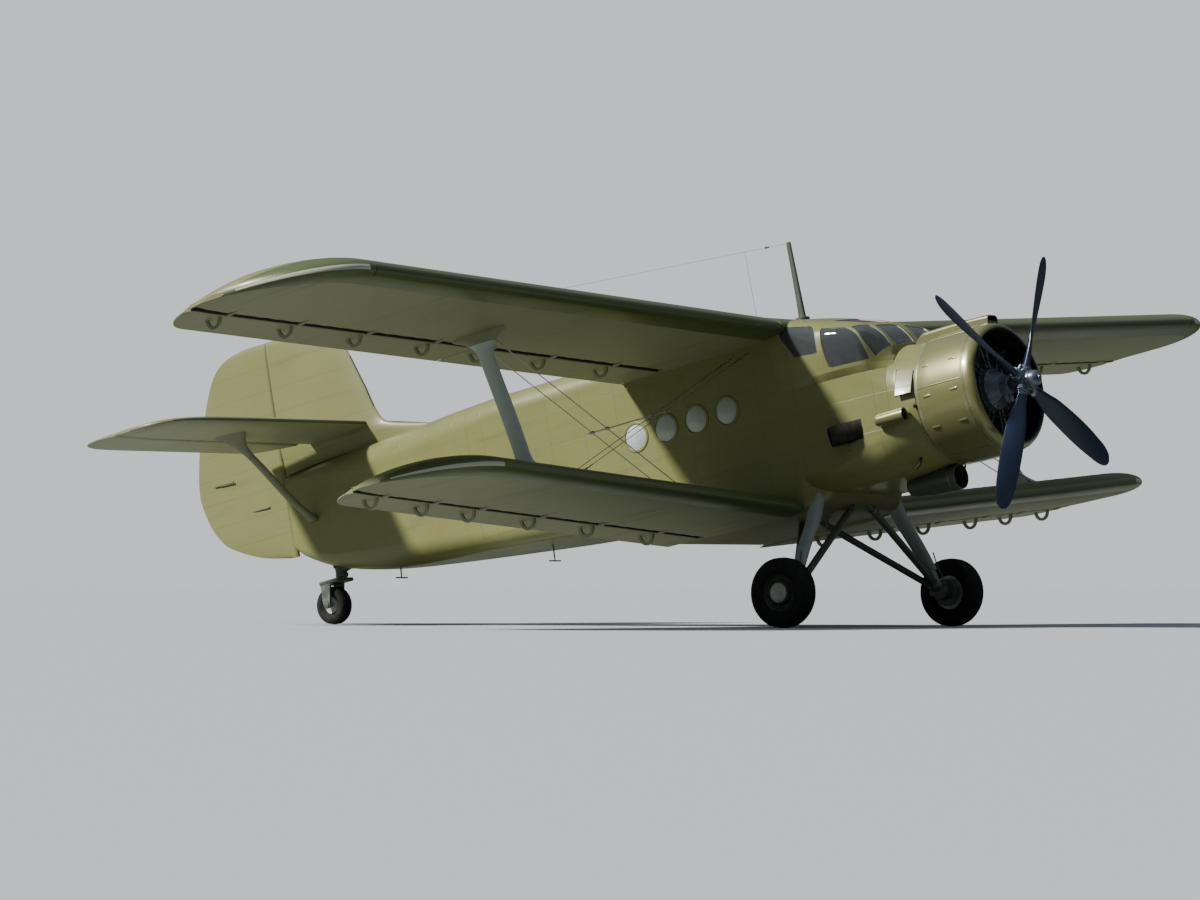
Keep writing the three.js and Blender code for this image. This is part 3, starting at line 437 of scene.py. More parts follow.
# %% [markdown]
# ## Where on the aircraft am I?
# Seams follow frames and ribs, so a finish has to know its place in flight axes. The object
# coordinates are in the parked frame: one group turns them back. It uses no UV map, so a Boolean cut
# can't tear the pattern, and every piece that shares a seam agrees on where it runs.

# %% Groups: flight place, seams and rivets
flight_place, w, _, out = shader_group("flight_place", "Place Along Across Up")
offset = w.vector("SUBTRACT", w.add("TexCoord", {})["Object"], tuple(ORIGIN))[0]
parts = [w.vector("DOT_PRODUCT", offset, tuple(axis))["Value"] for axis in (NOSE, PORT, UP)]
w.feed(out, {"Place": w.add("CombineXYZ", dict(enumerate(parts)))[0]})
w.feed(out, dict(zip(("Along", "Across", "Up"), parts)))

# A line wherever a coordinate is a whole number of pitches from a start
seam_line, w, given, out = shader_group(
    "seam_line", "Line Distance", Value=0.0, Pitch=1.0, Start=0.0, Width=0.004)
turn = w.maths("DIVIDE", w.maths("SUBTRACT", given["Value"], given["Start"]), given["Pitch"])
near = w.maths("MULTIPLY", w.maths("PINGPONG", turn, 0.5), given["Pitch"])
w.feed(out, {"Distance": near, "Line": w.maths("SUBTRACT", 1.0, w.ramp(near, 0.0, given["Width"]))})

# Rivet heads beside each such line
rivet_rows, w, given, out = shader_group(
    "rivet_rows", "Heads", Value=0.0, Pitch=1.0, Start=0.0, Beside=0.02, Along=0.0, Spacing=0.04,
    Head=0.006)
seam = w.use(seam_line, Value=given["Value"], Pitch=given["Pitch"], Start=given["Start"], Width=0.01)
aside = w.maths("SUBTRACT", seam["Distance"], given["Beside"])
step = w.maths("PINGPONG", w.maths("DIVIDE", given["Along"], given["Spacing"]), 0.5)
step = w.maths("MULTIPLY", step, given["Spacing"])
squares = w.maths("ADD", w.maths("MULTIPLY", aside, aside), w.maths("MULTIPLY", step, step))
heads = w.ramp(w.maths("SQRT", squares), w.maths("MULTIPLY", given["Head"], 0.4), given["Head"])
w.feed(out, {"Heads": w.maths("SUBTRACT", 1.0, heads)})

# %% [markdown]
# Paint that has flown for years isn't one colour. Sun bleaches it in patches, air draws dirt back
# along the surface, and edges rub through. The group below takes the clean colour and gives back the
# worn one, with a roughness to match. Pointiness finds the edges of a mesh without extra modelling.

# %% Groups: fading, streaks and worn edges
GREY = (0.5, 0.5, 0.5, 1)
weathering, w, given, out = shader_group(
    "weathering", "Color Shine Grain", Place=None, Paint=GREY, Fade=0.12, Streaks=0.1, Patch=1.2,
    Shine=0.35)
patches = w.maths("SUBTRACT", w.noise(given["Place"], given["Patch"], 4.0), 0.5)
streaks = w.noise(w.vector("MULTIPLY", given["Place"], (0.55, 7.0, 7.0))[0], 1.0, 5.0, 0.6)
grain = w.noise(given["Place"], 55.0, 2.0)
light = w.maths("MULTIPLY_ADD", patches, given["Fade"], 1.0)
tone = w.maths("SUBTRACT", light, w.maths("MULTIPLY", w.ramp(streaks, 0.52, 0.75), given["Streaks"]))
blue = w.maths("MULTIPLY_ADD", tone, 0.8, 0.2)
tinted = w.add("CombineColor", {0: tone, 1: tone, 2: blue})[0]
colour = w.mix(1.0, given["Paint"], tinted, "MULTIPLY")
dull = w.maths("MULTIPLY_ADD", patches, 0.22, given["Shine"])
shine = w.maths("MULTIPLY_ADD", w.maths("SUBTRACT", grain, 0.5), 0.08, dull)
w.feed(out, {"Color": colour, "Shine": shine, "Grain": grain})

edge_wear, w, given, out = shader_group(
    "edge_wear", "Color", Place=None, Paint=GREY, Bare=GREY, Amount=0.5)
sharp = w.ramp(w.add("NewGeometry", {})["Pointiness"], 0.52, 0.62)
rubbed = w.ramp(w.noise(given["Place"], 9.0, 4.0), 0.42, 0.6)
mask = w.maths("MULTIPLY", w.maths("MULTIPLY", sharp, rubbed), given["Amount"])
w.feed(out, {"Color": w.mix(mask, given["Paint"], given["Bare"])})
print("shader groups:", [g.name for g in bpy.data.node_groups])

# %% [markdown]
# ## Painted finishes
# One function paints every skin. Its seams are a list, so the riveted metal of the body and the doped
# cloth of the wings differ only in what they pass in. A separate material for each panel would also
# work, but then a change of paint would have to be made many times.

# %% The paint maker
RIB_PITCH = 0.265
RIB_START = 0.9
TAPE_WIDTH = 0.021
HEAD_HIGH = 0.0008
GRAIN_HIGH = 0.00012


def tone_of(colour, factor=1.0):
    return (*[min(1, v * factor) for v in colour], 1)


BARE_METAL = tone_of((0.42, 0.42, 0.4))


def new_material(name):
    material = bpy.data.materials.new(name)
    material.use_nodes = True
    tree = material.node_tree
    w = Wiring(tree)
    return w, tree.nodes["Principled BSDF"].inputs, w.use(flight_place)


def worn_edges(w, place, tint, amount):
    """The tint with bare metal along its edges, or the tint itself where nothing is worn."""
    if not amount:
        return tint
    return w.use(edge_wear, Place=place["Place"], Paint=tint, Bare=BARE_METAL, Amount=amount)["Color"]


def painted(name, colour, shine, fade, streaks, coat, seams=(), rivets=(), tapes=(), metal=0.0,
            wear=0.0, patch=1.2, creases=0.0):
    """Seams: axis, pitch, start, width, depth. Rivets: axis, pitch, start, along. Tapes: pitch, start."""
    w, surface, place = new_material(name)
    worn = w.use(weathering, Place=place["Place"], Paint=tone_of(colour), Fade=fade, Streaks=streaks,
                 Patch=patch, Shine=shine)
    tint = worn["Color"]
    height = w.maths("MULTIPLY", worn["Grain"], GRAIN_HIGH)
    for axis, pitch, start, width, depth in seams:
        line = w.use(seam_line, Value=place[axis], Pitch=pitch, Start=start, Width=width)["Line"]
        height = w.maths("MULTIPLY_ADD", line, -depth, height)
        tint = w.mix(w.maths("MULTIPLY", line, 0.45), tint, tone_of(colour, 0.35))
    for axis, pitch, start, along in rivets:
        heads = w.use(rivet_rows, Value=place[axis], Pitch=pitch, Start=start, Along=place[along])[0]
        height = w.maths("MULTIPLY_ADD", heads, HEAD_HIGH, height)
        tint = w.mix(w.maths("MULTIPLY", heads, 0.1), tint, tone_of(colour, 0.55))
    for pitch, start in tapes:
        tape = w.use(seam_line, Value=place["Across"], Pitch=pitch, Start=start, Width=TAPE_WIDTH)["Line"]
        tape = w.ramp(tape, 0.05, 0.3)
        height = w.maths("MULTIPLY_ADD", tape, HEAD_HIGH, height)
        tint = w.mix(w.maths("MULTIPLY", tape, 0.2), tint, tone_of(colour, 1.35))
    if creases:
        height = w.maths("MULTIPLY_ADD", w.noise(place["Place"], 3.5, 2.0), creases, height)
    tint = worn_edges(w, place, tint, wear)
    bump = w.add("Bump", {"Height": height, "Distance": 1.0, "Strength": 0.9})
    w.feed(surface, {"Base Color": tint, "Roughness": worn["Shine"], "Metallic": metal,
                     "Coat Weight": coat, "Coat Roughness": 0.12, "Normal": bump[0]})


FRAME_SEAM = ("Along", 0.51, -1.51, 0.004, 0.0012)
PANELS = dict(seams=(FRAME_SEAM, ("Up", 0.42, 0.185, 0.0035, 0.001)),
              rivets=(("Along", 0.51, -1.51, "Up"), ("Up", 0.42, 0.185, "Along")), creases=0.004)
WING_TAPES = dict(tapes=((RIB_PITCH, RIB_START),))
TAIL_TAPES = dict(tapes=((0.3, 0.05),))
OLIVE_CLOTH = (0.202, 0.211, 0.078)
KHAKI = (0.25, 0.262, 0.158)
for name, colour, shine, fade, streaks, coat, more in (
    ("olive_metal", (0.196, 0.205, 0.072), 0.38, 0.2, 0.16, 0.15, PANELS),
    ("olive_cloth", OLIVE_CLOTH, 0.46, 0.16, 0.12, 0.05, WING_TAPES),
    ("khaki_cloth", KHAKI, 0.6, 0.14, 0.22, 0.0, WING_TAPES),
    ("tail_cloth", OLIVE_CLOTH, 0.46, 0.16, 0.12, 0.05, dict(seams=(("Up", 0.3, 1.55, 0.006, 0.0004),))),
    ("plane_cloth", OLIVE_CLOTH, 0.36, 0.16, 0.12, 0.15, TAIL_TAPES),
    ("plane_under", KHAKI, 0.45, 0.14, 0.22, 0.05, TAIL_TAPES),
    # wing_nose: the olive paint of the metal nose darkened to look as it does in shade, a painted shade
    ("wing_nose", (0.08, 0.104, 0.038), 0.4, 0.14, 0.1, 0.1,
     dict(rivets=(("Across", RIB_PITCH, RIB_START, "Along"),))),
    ("dark_green", (0.045, 0.066, 0.026), 0.3, 0.12, 0.05, 0.3, {}),
    # edge_strip: a painted highlight, sun glinting on the canopy's pane edges and the wing tips' edges; its
    # worn edges are real wear
    ("edge_strip", (0.5, 0.5, 0.44), 0.38, 0.1, 0.05, 0.0, dict(wear=0.2)),
    ("cowl_paint", (0.215, 0.215, 0.09), 0.34, 0.1, 0.1, 0.6, dict(metal=0.45, wear=0.3)),
    ("strut_paint", (0.52, 0.6, 0.63), 0.45, 0.12, 0.1, 0.1, dict(wear=0.3)),
    ("leg_paint", (0.26, 0.31, 0.32), 0.45, 0.14, 0.14, 0.05, dict(wear=0.3, patch=5.0)),
    ("tail_strut_paint", (0.165, 0.175, 0.105), 0.5, 0.14, 0.14, 0.0, dict(wear=0.2, patch=5.0)),
    ("bracket_paint", (0.27, 0.285, 0.19), 0.5, 0.12, 0.12, 0.0, dict(wear=0.2, patch=5.0)),
    ("gear_paint", (0.07, 0.082, 0.066), 0.45, 0.16, 0.16, 0.05, dict(wear=0.3, patch=6.0)),
    ("belly_paint", (0.165, 0.168, 0.074), 0.5, 0.22, 0.3, 0.0, dict(seams=(FRAME_SEAM,), creases=0.004)),
):
    painted(name, colour, shine, fade, streaks, coat, **more)
print("paints:", len(bpy.data.materials))

# %% [markdown]
# ## Bare, dark and clear finishes
# Rubber, cast metal, glass and leather each get a short maker of their own. Glass stays simple: its
# transmission is one plain value, because the exported model can't carry a changing one. The floor is
# pale where the camera sees it, but throws back little light, and still less from far away, or the
# undersides of the wings would glow.

# %% Metals, rubber, leather, glass and floor


def speckled(name, colour, other, shine, metal, scale, depth, wear=0.0):
    """Two mixed tones with a fine relief: cast, forged, moulded or tanned surfaces."""
    w, surface, place = new_material(name)
    coarse, fine = w.noise(place["Place"], scale, 4.0), w.noise(place["Place"], scale * 9, 3.0)
    tint = w.mix(w.ramp(coarse, 0.35, 0.65), tone_of(colour), tone_of(other))
    tint = worn_edges(w, place, tint, wear)
    rough = w.maths("MULTIPLY_ADD", w.maths("SUBTRACT", fine, 0.5), 0.25, shine)
    bump = w.add("Bump", {"Height": w.maths("MULTIPLY", fine, depth), "Distance": 1.0, "Strength": 0.8})
    w.feed(surface, {"Base Color": tint, "Roughness": rough, "Metallic": metal, "Normal": bump[0]})
    return surface


def glazing(name, colour, transmission, shine):
    """Clear glass, or pale glass that carries a painted sky reflection, with faint dust, so that it doesn't
    look like an empty hole.
    """
    w, surface, place = new_material(name)
    dust = w.ramp(w.noise(place["Place"], 6.0, 5.0), 0.45, 0.75)
    tint = w.mix(dust, tone_of(colour), tone_of(colour, 1.12))
    rough = w.maths("MULTIPLY_ADD", dust, 0.08, shine)
    w.feed(surface, {"Base Color": tint, "Roughness": rough, "Transmission Weight": transmission,
                     "IOR": 1.45})


rubber = speckled("tyre_rubber", (0.013, 0.014, 0.014), (0.022, 0.023, 0.021), 0.8, 0.0, 14, 0.0004)
rubber["Specular IOR Level"].default_value = 0.2
for row in (
    ("hub_dark", (0.03, 0.037, 0.024), (0.045, 0.05, 0.036), 0.55, 0.0, 18, 0.0002, 0.3),
    ("hub_metal", (0.46, 0.48, 0.48), (0.36, 0.38, 0.38), 0.42, 0.35, 18, 0.0002, 0.4),
    ("cast_dark", (0.03, 0.031, 0.03), (0.055, 0.053, 0.048), 0.5, 0.4, 22, 0.0004, 0.6),
    ("case_blue", (0.1, 0.15, 0.2), (0.14, 0.19, 0.23), 0.38, 0.3, 14, 0.0002, 0.5),
    # Blades and hub: dark metal whose blue is a painted reflection of the sky
    ("blade_paint", (0.013, 0.026, 0.062), (0.018, 0.034, 0.074), 0.3, 0.15, 5, 0.0001, 0.3),
    ("hub_steel", (0.11, 0.15, 0.21), (0.17, 0.21, 0.26), 0.33, 0.7, 16, 0.0001, 0.5),
    # burnt_pipe: burnt, sooty metal, darkened further as painted shade
    ("burnt_pipe", (0.01, 0.009, 0.008), (0.03, 0.026, 0.022), 0.7, 0.3, 10, 0.0003),
    ("wire_steel", (0.4, 0.42, 0.43), (0.3, 0.32, 0.33), 0.35, 0.8, 30, 0.0001),
    ("cabin_lining", (0.24, 0.29, 0.24), (0.2, 0.24, 0.2), 0.7, 0.0, 6, 0.0004),
    ("floor_metal", (0.3, 0.31, 0.3), (0.2, 0.21, 0.2), 0.55, 0.5, 9, 0.0005),
    ("seat_leather", (0.035, 0.027, 0.02), (0.055, 0.04, 0.028), 0.55, 0.0, 25, 0.0006),
    ("panel_black", (0.012, 0.013, 0.014), (0.02, 0.02, 0.022), 0.6, 0.0, 30, 0.0002),
    # dark_inside: painted shade, near black, for slots, bores and the cowl's inside; inside the exhaust it
    # is soot as well
    ("dark_inside", (0.01, 0.01, 0.009), (0.018, 0.017, 0.015), 0.8, 0.0, 12, 0.0003),
    ("dial_white", (0.55, 0.56, 0.52), (0.48, 0.5, 0.47), 0.4, 0.0, 40, 0.0001),
):
    speckled(*row)
glazing("cockpit_glass", (0.46, 0.51, 0.53), 0.92, 0.03)
# The cabin glass is pale blue with little transmission: a painted reflection of the sky
glazing("cabin_glass", (0.74, 0.82, 0.86), 0.45, 0.06)

FLOOR_SEEN = (0.485, 0.505, 0.535, 1)
BOUNCE_NEAR = (0.29, 0.305, 0.27, 1)
BOUNCE_FAR = (0.04, 0.045, 0.036, 1)
w, surface, _ = new_material("studio_floor_paint")
away = w.vector("LENGTH", w.add("TexCoord", {})["Object"])["Value"]
bounce = w.mix(w.ramp(away, 9.0, 24.0), BOUNCE_NEAR, BOUNCE_FAR)
tint = w.mix(w.add("LightPath", {})["Is Camera Ray"], bounce, FLOOR_SEEN)
w.feed(surface, {"Base Color": tint, "Roughness": 0.9, "Specular IOR Level": 0.1})
ground.data.materials.append(bpy.data.materials["studio_floor_paint"])
print("materials:", len(bpy.data.materials))

# %% [markdown]
# ## Fuselage
# The body is a metal shell over frames. Its section is a box with rounded corners that shrinks to the
# stern post. The table holds a few stations, and a monotone cubic runs through them. It was chosen over
# a plain spline, because a spline can swing past its points and put a belly where metal is straight.

# %% Curves through a table, and the body's section
BODY = (  # x, half width, top, bottom, top corner radius, bottom corner radius
    (-1.02, 0.705, 0.705, -0.705, 0.7, 0.7), (-1.31, 0.745, 0.73, -0.745, 0.6, 0.56),
    (-1.7, 0.82, 0.98, -0.775, 0.42, 0.38), (-2.15, 0.872, 1.23, -0.79, 0.3, 0.29),
    (-2.76, 0.885, 1.38, -0.745, 0.26, 0.24), (-3.1, 0.885, 1.418, -0.716, 0.25, 0.23),
    (-5.000, 0.885, 1.418, -0.555, 0.25, 0.22), (-6.8, 0.885, 1.418, -0.405, 0.26, 0.18),
    (-7.4, 0.83, 1.418, -0.355, 0.3, 0.22), (-8.4, 0.62, 1.412, -0.272, 0.32, 0.28),
    (-9.4, 0.4, 1.4, -0.16, 0.3, 0.26), (-10.2, 0.225, 1.385, 0.02, 0.19, 0.19),
    (-10.8, 0.105, 1.35, 0.29, 0.095, 0.095), (-10.93, 0.08, 1.33, 0.4, 0.075, 0.075),
)
NOSE_FRONT = -1.0205
FIREWALL = -1.35
CABIN_BACK = -7.38
STERN = BODY[-1][0]
WALL = 0.058
JOINT_GAP = 0.002
RING_PITCH = 0.11
SMALLEST_CORNER = 0.02


def smooth(xs, ys):
    """A curve through points that never swings past them."""
    if xs[0] > xs[-1]:
        xs, ys = xs[::-1], ys[::-1]
    steps = [(ys[i + 1] - ys[i]) / (xs[i + 1] - xs[i]) for i in range(len(xs) - 1)]
    inner = [0.0 if a * b <= 0 else 2 * a * b / (a + b) for a, b in zip(steps, steps[1:])]
    slopes = [steps[0], *inner, steps[-1]]

    def at(x):
        x = min(max(x, xs[0]), xs[-1])
        i = next((k for k in range(len(xs) - 2) if x < xs[k + 1]), len(xs) - 2)
        gap = xs[i + 1] - xs[i]
        t = (x - xs[i]) / gap
        low = (1 + 2 * t) * (1 - t) ** 2 * ys[i] + t * (1 - t) ** 2 * gap * slopes[i]
        return low + t * t * (3 - 2 * t) * ys[i + 1] - t * t * (1 - t) * gap * slopes[i + 1]

    return at


def curves(rows):
    """Reads a table as smooth curves: gives all later columns for a value of the first one."""
    columns = list(zip(*rows))
    lines = [smooth(columns[0], column) for column in columns[1:]]
    return lambda x: [line(x) for line in lines]


def spread(start, end, pitch):
    """Even steps from start to end, no longer than the pitch."""
    return even(start, end, max(1, ceil(abs(end - start) / pitch)))


def mirrored(half_ring):
    """A ring from its port half, drawn from the bottom or the top."""
    return half_ring + [(x, -y, z) for x, y, z in reversed(half_ring)]


body_at = curves(BODY)


def body_ring(x, inset=0.0, corner_steps=8):
    half, top, low, top_r, low_r = body_at(x)
    half, top, low = half - inset, top - inset, low + inset
    a, b = max(top_r - inset, SMALLEST_CORNER), max(low_r - inset, SMALLEST_CORNER)
    corners = (
        (half - a, top - a, a), (a - half, top - a, a), (b - half, low + b, b), (half - b, low + b, b),
    )
    return [(x, cy + cos(t) * r, cz + sin(t) * r) for i, (cy, cz, r) in enumerate(corners)
            for t in arc(90 * i, 90 * i + 90, corner_steps)]


def body_skin(front, back, inset=0.0):
    return loft([body_ring(x, inset) for x in spread(front, back, RING_PITCH)])


def prism(outline, axis, start, end):
    """A straight-sided block: an outline in the other two directions, drawn along one axis."""
    place = {"x": lambda p, d: (d, *p), "y": lambda p, d: (p[0], d, p[1])}[axis]
    return loft([[place(p, d) for p in outline] for d in (start, end)])


def rounded(corners, radius, steps=5):
    """A polygon with each corner rounded off."""
    outline = []
    for i, corner in enumerate(corners):
        here = Vector(corner)
        a = here + (Vector(corners[i - 1]) - here).normalized() * radius
        b = here + (Vector(corners[(i + 1) % len(corners)]) - here).normalized() * radius
        for t in even(0, 1, steps):
            outline.append(tuple((1 - t) ** 2 * a + 2 * t * (1 - t) * here + t * t * b))
    return outline


def flat_box(x0, x1, z0, z1, radius=0.0):
    corners = [(x0, z0), (x1, z0), (x1, z1), (x0, z1)]
    return rounded(corners, radius) if radius else corners


# %% [markdown]
# The cabin is hollow, with round windows, so a shell is made from two skins and then cut. The cargo
# opening, the cockpit and the wing's seat are cut in the same way. The nose and the tail cone are
# separate panels on the real machine, and the hair-thin gaps between them are its transport joints.

# %% Body skins
WINDOWS = (-3.507, -3.956, -4.405, -4.854)
WINDOW_SIDES = ((-1, "right", WINDOWS), (1, "left", WINDOWS[:3]))
WINDOW_Z = 0.44
WINDOW_R = 0.16
SILL = 0.55
CANOPY_BACK = -2.76
CARGO = (-6.72, -5.2, -0.225, 1.13)
ENTRY = (-6.13, -5.33, -0.165, 1.00)
DOOR_SOFT = 0.05


def looks_inwards(centre, normal):
    return normal.y * centre.y + normal.z * (centre.z - 0.4) < -1e-4


def window_cut(x, side):
    return drum((x, side * 0.85, WINDOW_Z), PORT, WINDOW_R, 0.4)


def doorway(door):
    """A cutter through the port wall."""
    return prism(flat_box(*door, DOOR_SOFT), "y", 0.7, 1.0)


cabin = body_skin(FIREWALL, CABIN_BACK)
carve(cabin, body_skin(FIREWALL + 0.01, CABIN_BACK + 0.06, WALL))
openings = [
    prism(flat_box(CANOPY_BACK, -1.2, SILL, 1.7), "y", -1.2, 1.2),
    prism(flat_box(-3.3, CANOPY_BACK + 0.02, 1.15, 1.7), "y", -0.88, 0.88),
    doorway(CARGO),
]
openings += [window_cut(x, side) for side, _, xs in WINDOW_SIDES for x in xs]
carve(cabin, *openings)
dress(cabin, "cabin_skin", "olive_metal cabin_lining", "cabin_shell", rule=looks_inwards)
nose = body_skin(NOSE_FRONT, FIREWALL + JOINT_GAP)
dress(nose, "nose_skin", "olive_metal", "nose_section")
tail = body_skin(CABIN_BACK - JOINT_GAP, STERN)
dress(tail, "tail_skin", "olive_metal", "tail_cone")

# %% [markdown]
# The belly fairing hides the lower wing's spars under the floor. Its sides turn into its underside
# with a soft corner, and it melts into the body at both ends.

# %% Belly fairing
BELLY = (  # x, half width, underside
    (-2.33, 0.7, -0.76), (-2.48, 0.8, -0.9), (-2.64, 0.9, -0.935), (-4.4, 0.9, -0.925),
    (-4.9, 0.82, -0.8), (-5.35, 0.6, -0.56),
)
BELLY_CORNER = 0.085
belly_at = curves(BELLY)


def belly_ring(x):
    half, under = belly_at(x)
    side, low = half - BELLY_CORNER, under + BELLY_CORNER
    corner = [(x, side + cos(t) * BELLY_CORNER, low + sin(t) * BELLY_CORNER) for t in arc(0, -90, 8)]
    return mirrored([(x, half, -0.35), *corner])


belly = loft([belly_ring(x) for x in spread(BELLY[0][0], BELLY[-1][0], 0.08)])
dress(belly, "belly_fairing", "belly_paint olive_metal", "lower_centre_section",
      rule=lambda centre, normal: abs(normal.y) > 0.4)

# %% [markdown]
# ## Cabin windows
# Each pane is a shallow dome in a pressed ring, and its rim catches the light. A dome is one turned
# profile. The ring is another, and a dozen small screws hold it. All of one side's are one piece.

# %% Window rings and domes
SIDE_Y = 0.885
RING = (
    (-0.03, 0.158), (-0.03, 0.15), (0.008, 0.15), (0.011, 0.156), (0.011, 0.176), (0.006, 0.184),
    (-0.004, 0.186), (-0.004, 0.158),
)
DOME = [(-0.002 + 0.03 * (1 - (r / 0.152) ** 2), r) for r in (0.152, 0.13, 0.1, 0.07, 0.035, 0.0)]
DOME += [(a - 0.006, r) for a, r in reversed(DOME)]


def window_ring(x, side):
    screws = stud_circle((x, side * (SIDE_Y + 0.01), WINDOW_Z), PORT * side, 0.166, 12, 0.005, 0.003, 8)
    return [turned(RING, (x, side * SIDE_Y, WINDOW_Z), PORT * side, 64), *screws]


def window_pane(x, side):
    return turned(DOME, (x, side * SIDE_Y, WINDOW_Z), PORT * side, 64)


for side, word, xs in WINDOW_SIDES:
    rings = [part for x in xs for part in window_ring(x, side)]
    dress(rings, "window_rings_" + word, "olive_metal")
    panes = [window_pane(x, side) for x in xs]
    dress(panes, "window_panes_" + word, "cabin_glass", "window_glass_" + word)

# %% [markdown]
# ## Cockpit canopy
# The cockpit bulges past the body so that the crew can look down. Its frame is a pressed shell with
# glazed openings. One curved surface holds both: the frame is that surface with holes, and the glass is
# the same surface a few millimetres lower, so the panes follow every curve and never poke through.

# %% The canopy surface
CANOPY = (  # x, sill width, bulge width, shoulder z, shoulder width, edge z, edge width, roof z
    (-1.29, 0.582, 0.522, 0.655, 0.44, 0.708, 0.312, 0.738),
    (-1.35, 0.64, 0.612, 0.745, 0.555, 0.798, 0.405, 0.832),
    (-1.42, 0.705, 0.712, 0.85, 0.68, 0.9, 0.47, 0.93),
    (-1.56, 0.825, 0.862, 0.96, 0.812, 1.02, 0.52, 1.048),
    (-2.1, 0.908, 0.935, 1.06, 0.88, 1.18, 0.62, 1.236),
    (-2.5, 0.89, 0.908, 1.13, 0.882, 1.27, 0.68, 1.335),
    (-2.76, 0.886, 0.886, 1.19, 0.884, 1.33, 0.72, 1.38),
)
CANOPY_PANES = (  # corners as x and share of the way from sill to roof
    ((-2.42, 0.235), (-2.64, 0.62), (-2.17, 0.62), (-2.07, 0.235)),
    ((-1.97, 0.045), (-2.03, 0.56), (-1.7, 0.56), (-1.47, 0.06)),
    ((-1.425, 0.1), (-1.65, 0.56), (-1.555, 0.735), (-1.325, 0.56)),
    ((-1.312, 0.65), (-1.545, 0.79), (-1.525, 0.96), (-1.312, 0.95)),
    ((-1.66, 0.78), (-1.64, 0.965), (-2.03, 0.965), (-2.05, 0.78)),
)
CANOPY_FRONT = -1.292
NEARBY = 0.01
canopy_at = curves(CANOPY)


def bow(points, share):
    """A point on the smooth bow through a few posts, share 0 to 1."""
    spans = len(points) - 1
    i = min(int(share * spans), spans - 1)
    t = share * spans - i
    p0 = points[i - 1] if i else 2 * points[0] - points[1]
    p1, p2 = points[i], points[i + 1]
    p3 = points[i + 2] if i + 2 <= spans else Vector((-points[-2].x, points[-2].y))
    m1, m2 = (p2 - p0) * 0.375, (p3 - p1) * 0.375
    return ((2 * t**3 - 3 * t**2 + 1) * p1 + (t**3 - 2 * t**2 + t) * m1
            + (3 * t**2 - 2 * t**3) * p2 + (t**3 - t**2) * m2)


def canopy_point(x, share, inset=0.0):
    """Port side: share 0 at the sill, 1 on the roof's centre line."""
    sill_w, bulge, shoulder_z, shoulder_w, edge_z, edge_w, roof = canopy_at(x)
    middle = (SILL + shoulder_z) / 2
    rows = ((sill_w, SILL), (bulge, middle), (shoulder_w, shoulder_z), (edge_w, edge_z), (0.0, roof))
    posts = [Vector(p) for p in rows]
    here = bow(posts, share)
    if inset:
        ahead = bow(posts, min(share + NEARBY, 1)) - bow(posts, max(share - NEARBY, 0))
        here = here - Vector((ahead.y, -ahead.x)).normalized() * inset
    return Vector((x, here.x, here.y))


def canopy_row(x, inset, low):
    half = [canopy_point(x, share, inset) for share in even(0, 1, 24)]
    half[0].z = low
    return half + [Vector((p.x, -p.y, p.z)) for p in reversed(half[:-1])]


def canopy_shell(outer, inner, front, back, below=0.0):
    return loft([canopy_row(x, outer, SILL - below) + canopy_row(x, inner, SILL - below)[::-1]
                 for x in spread(front, back, 0.035)])


def pane_cut(outline, side):
    """A cutter square to the canopy surface, with rounded corners."""
    rings = [[], []]
    for x, share in rounded(outline, 0.035):
        here = canopy_point(x, share)
        along = canopy_point(x - NEARBY, share) - canopy_point(x + NEARBY, share)
        over = canopy_point(x, min(share + NEARBY, 1)) - canopy_point(x, max(share - NEARBY, 0))
        normal = over.cross(along).normalized()
        for ring, reach in zip(rings, (-0.26, 0.07)):
            p = here + normal * reach
            ring.append((p.x, side * p.y, p.z))
    return loft(rings)


# %% [markdown]
# The pale rim round each pane is the cut face itself, painted pale as a highlight where sun glints on
# the edge. The cutters carry a second finish, and the Boolean hands it on to the faces that they leave
# behind.

# %% Canopy frame, glass and sills
frame_shell = canopy_shell(0.0, 0.02, CANOPY_FRONT, CANOPY_BACK + JOINT_GAP, 0.006)
cutters = [pane_cut(outline, side) for outline in CANOPY_PANES for side in (1, -1)]
for part in (frame_shell, *cutters):
    for finish in ("olive_metal", "edge_strip"):
        part.data.materials.append(bpy.data.materials[finish])
    paint_faces(part, lambda centre, normal: part is not frame_shell)
carve(frame_shell, *cutters)
dress(frame_shell, "canopy_frame_shell", "olive_metal edge_strip", "canopy_frame")
glass_shell = canopy_shell(0.008, 0.013, -1.3, CANOPY_BACK + 0.01)
dress(glass_shell, "canopy_glazing", "cockpit_glass", "canopy_glass")


def body_width(x, z):
    """Half the body's width at a height, round its top corner."""
    half, top, _, top_r, _ = body_at(x)
    over = max(0.0, z - (top - top_r))
    return half - top_r + sqrt(max(0.0, top_r**2 - over**2))


def canopy_sill(side, drop=0.085):
    """A slanted strip that closes the step between the bulged canopy and the body below it."""
    rings = []
    for x in spread(CANOPY_FRONT, CANOPY_BACK + JOINT_GAP, 0.04):
        out = canopy_point(x, 0.0).y
        low = body_width(x, SILL - drop)
        back = min(body_width(x, SILL), out) - 0.03
        row = ((out + 0.0015, SILL + 0.006), (out + 0.0005, SILL - 0.012), (low + 0.0015, SILL - drop),
               (low - 0.03, SILL - drop), (back, SILL + 0.006))
        rings.append([(x, side * y, z) for y, z in row])
    return loft(rings)


dress([canopy_sill(1), canopy_sill(-1)], "canopy_sills", "olive_metal")

# %% [markdown]
# ## Wings
# A wing is one section carried along the span. It could be drawn as a subdivided cage, but the section
# is a formula, so every rib, bay and flap can ask the same formula for its points and will fit. Between
# the ribs the doped cloth sags a few millimetres, which is what makes a cloth wing look like one.

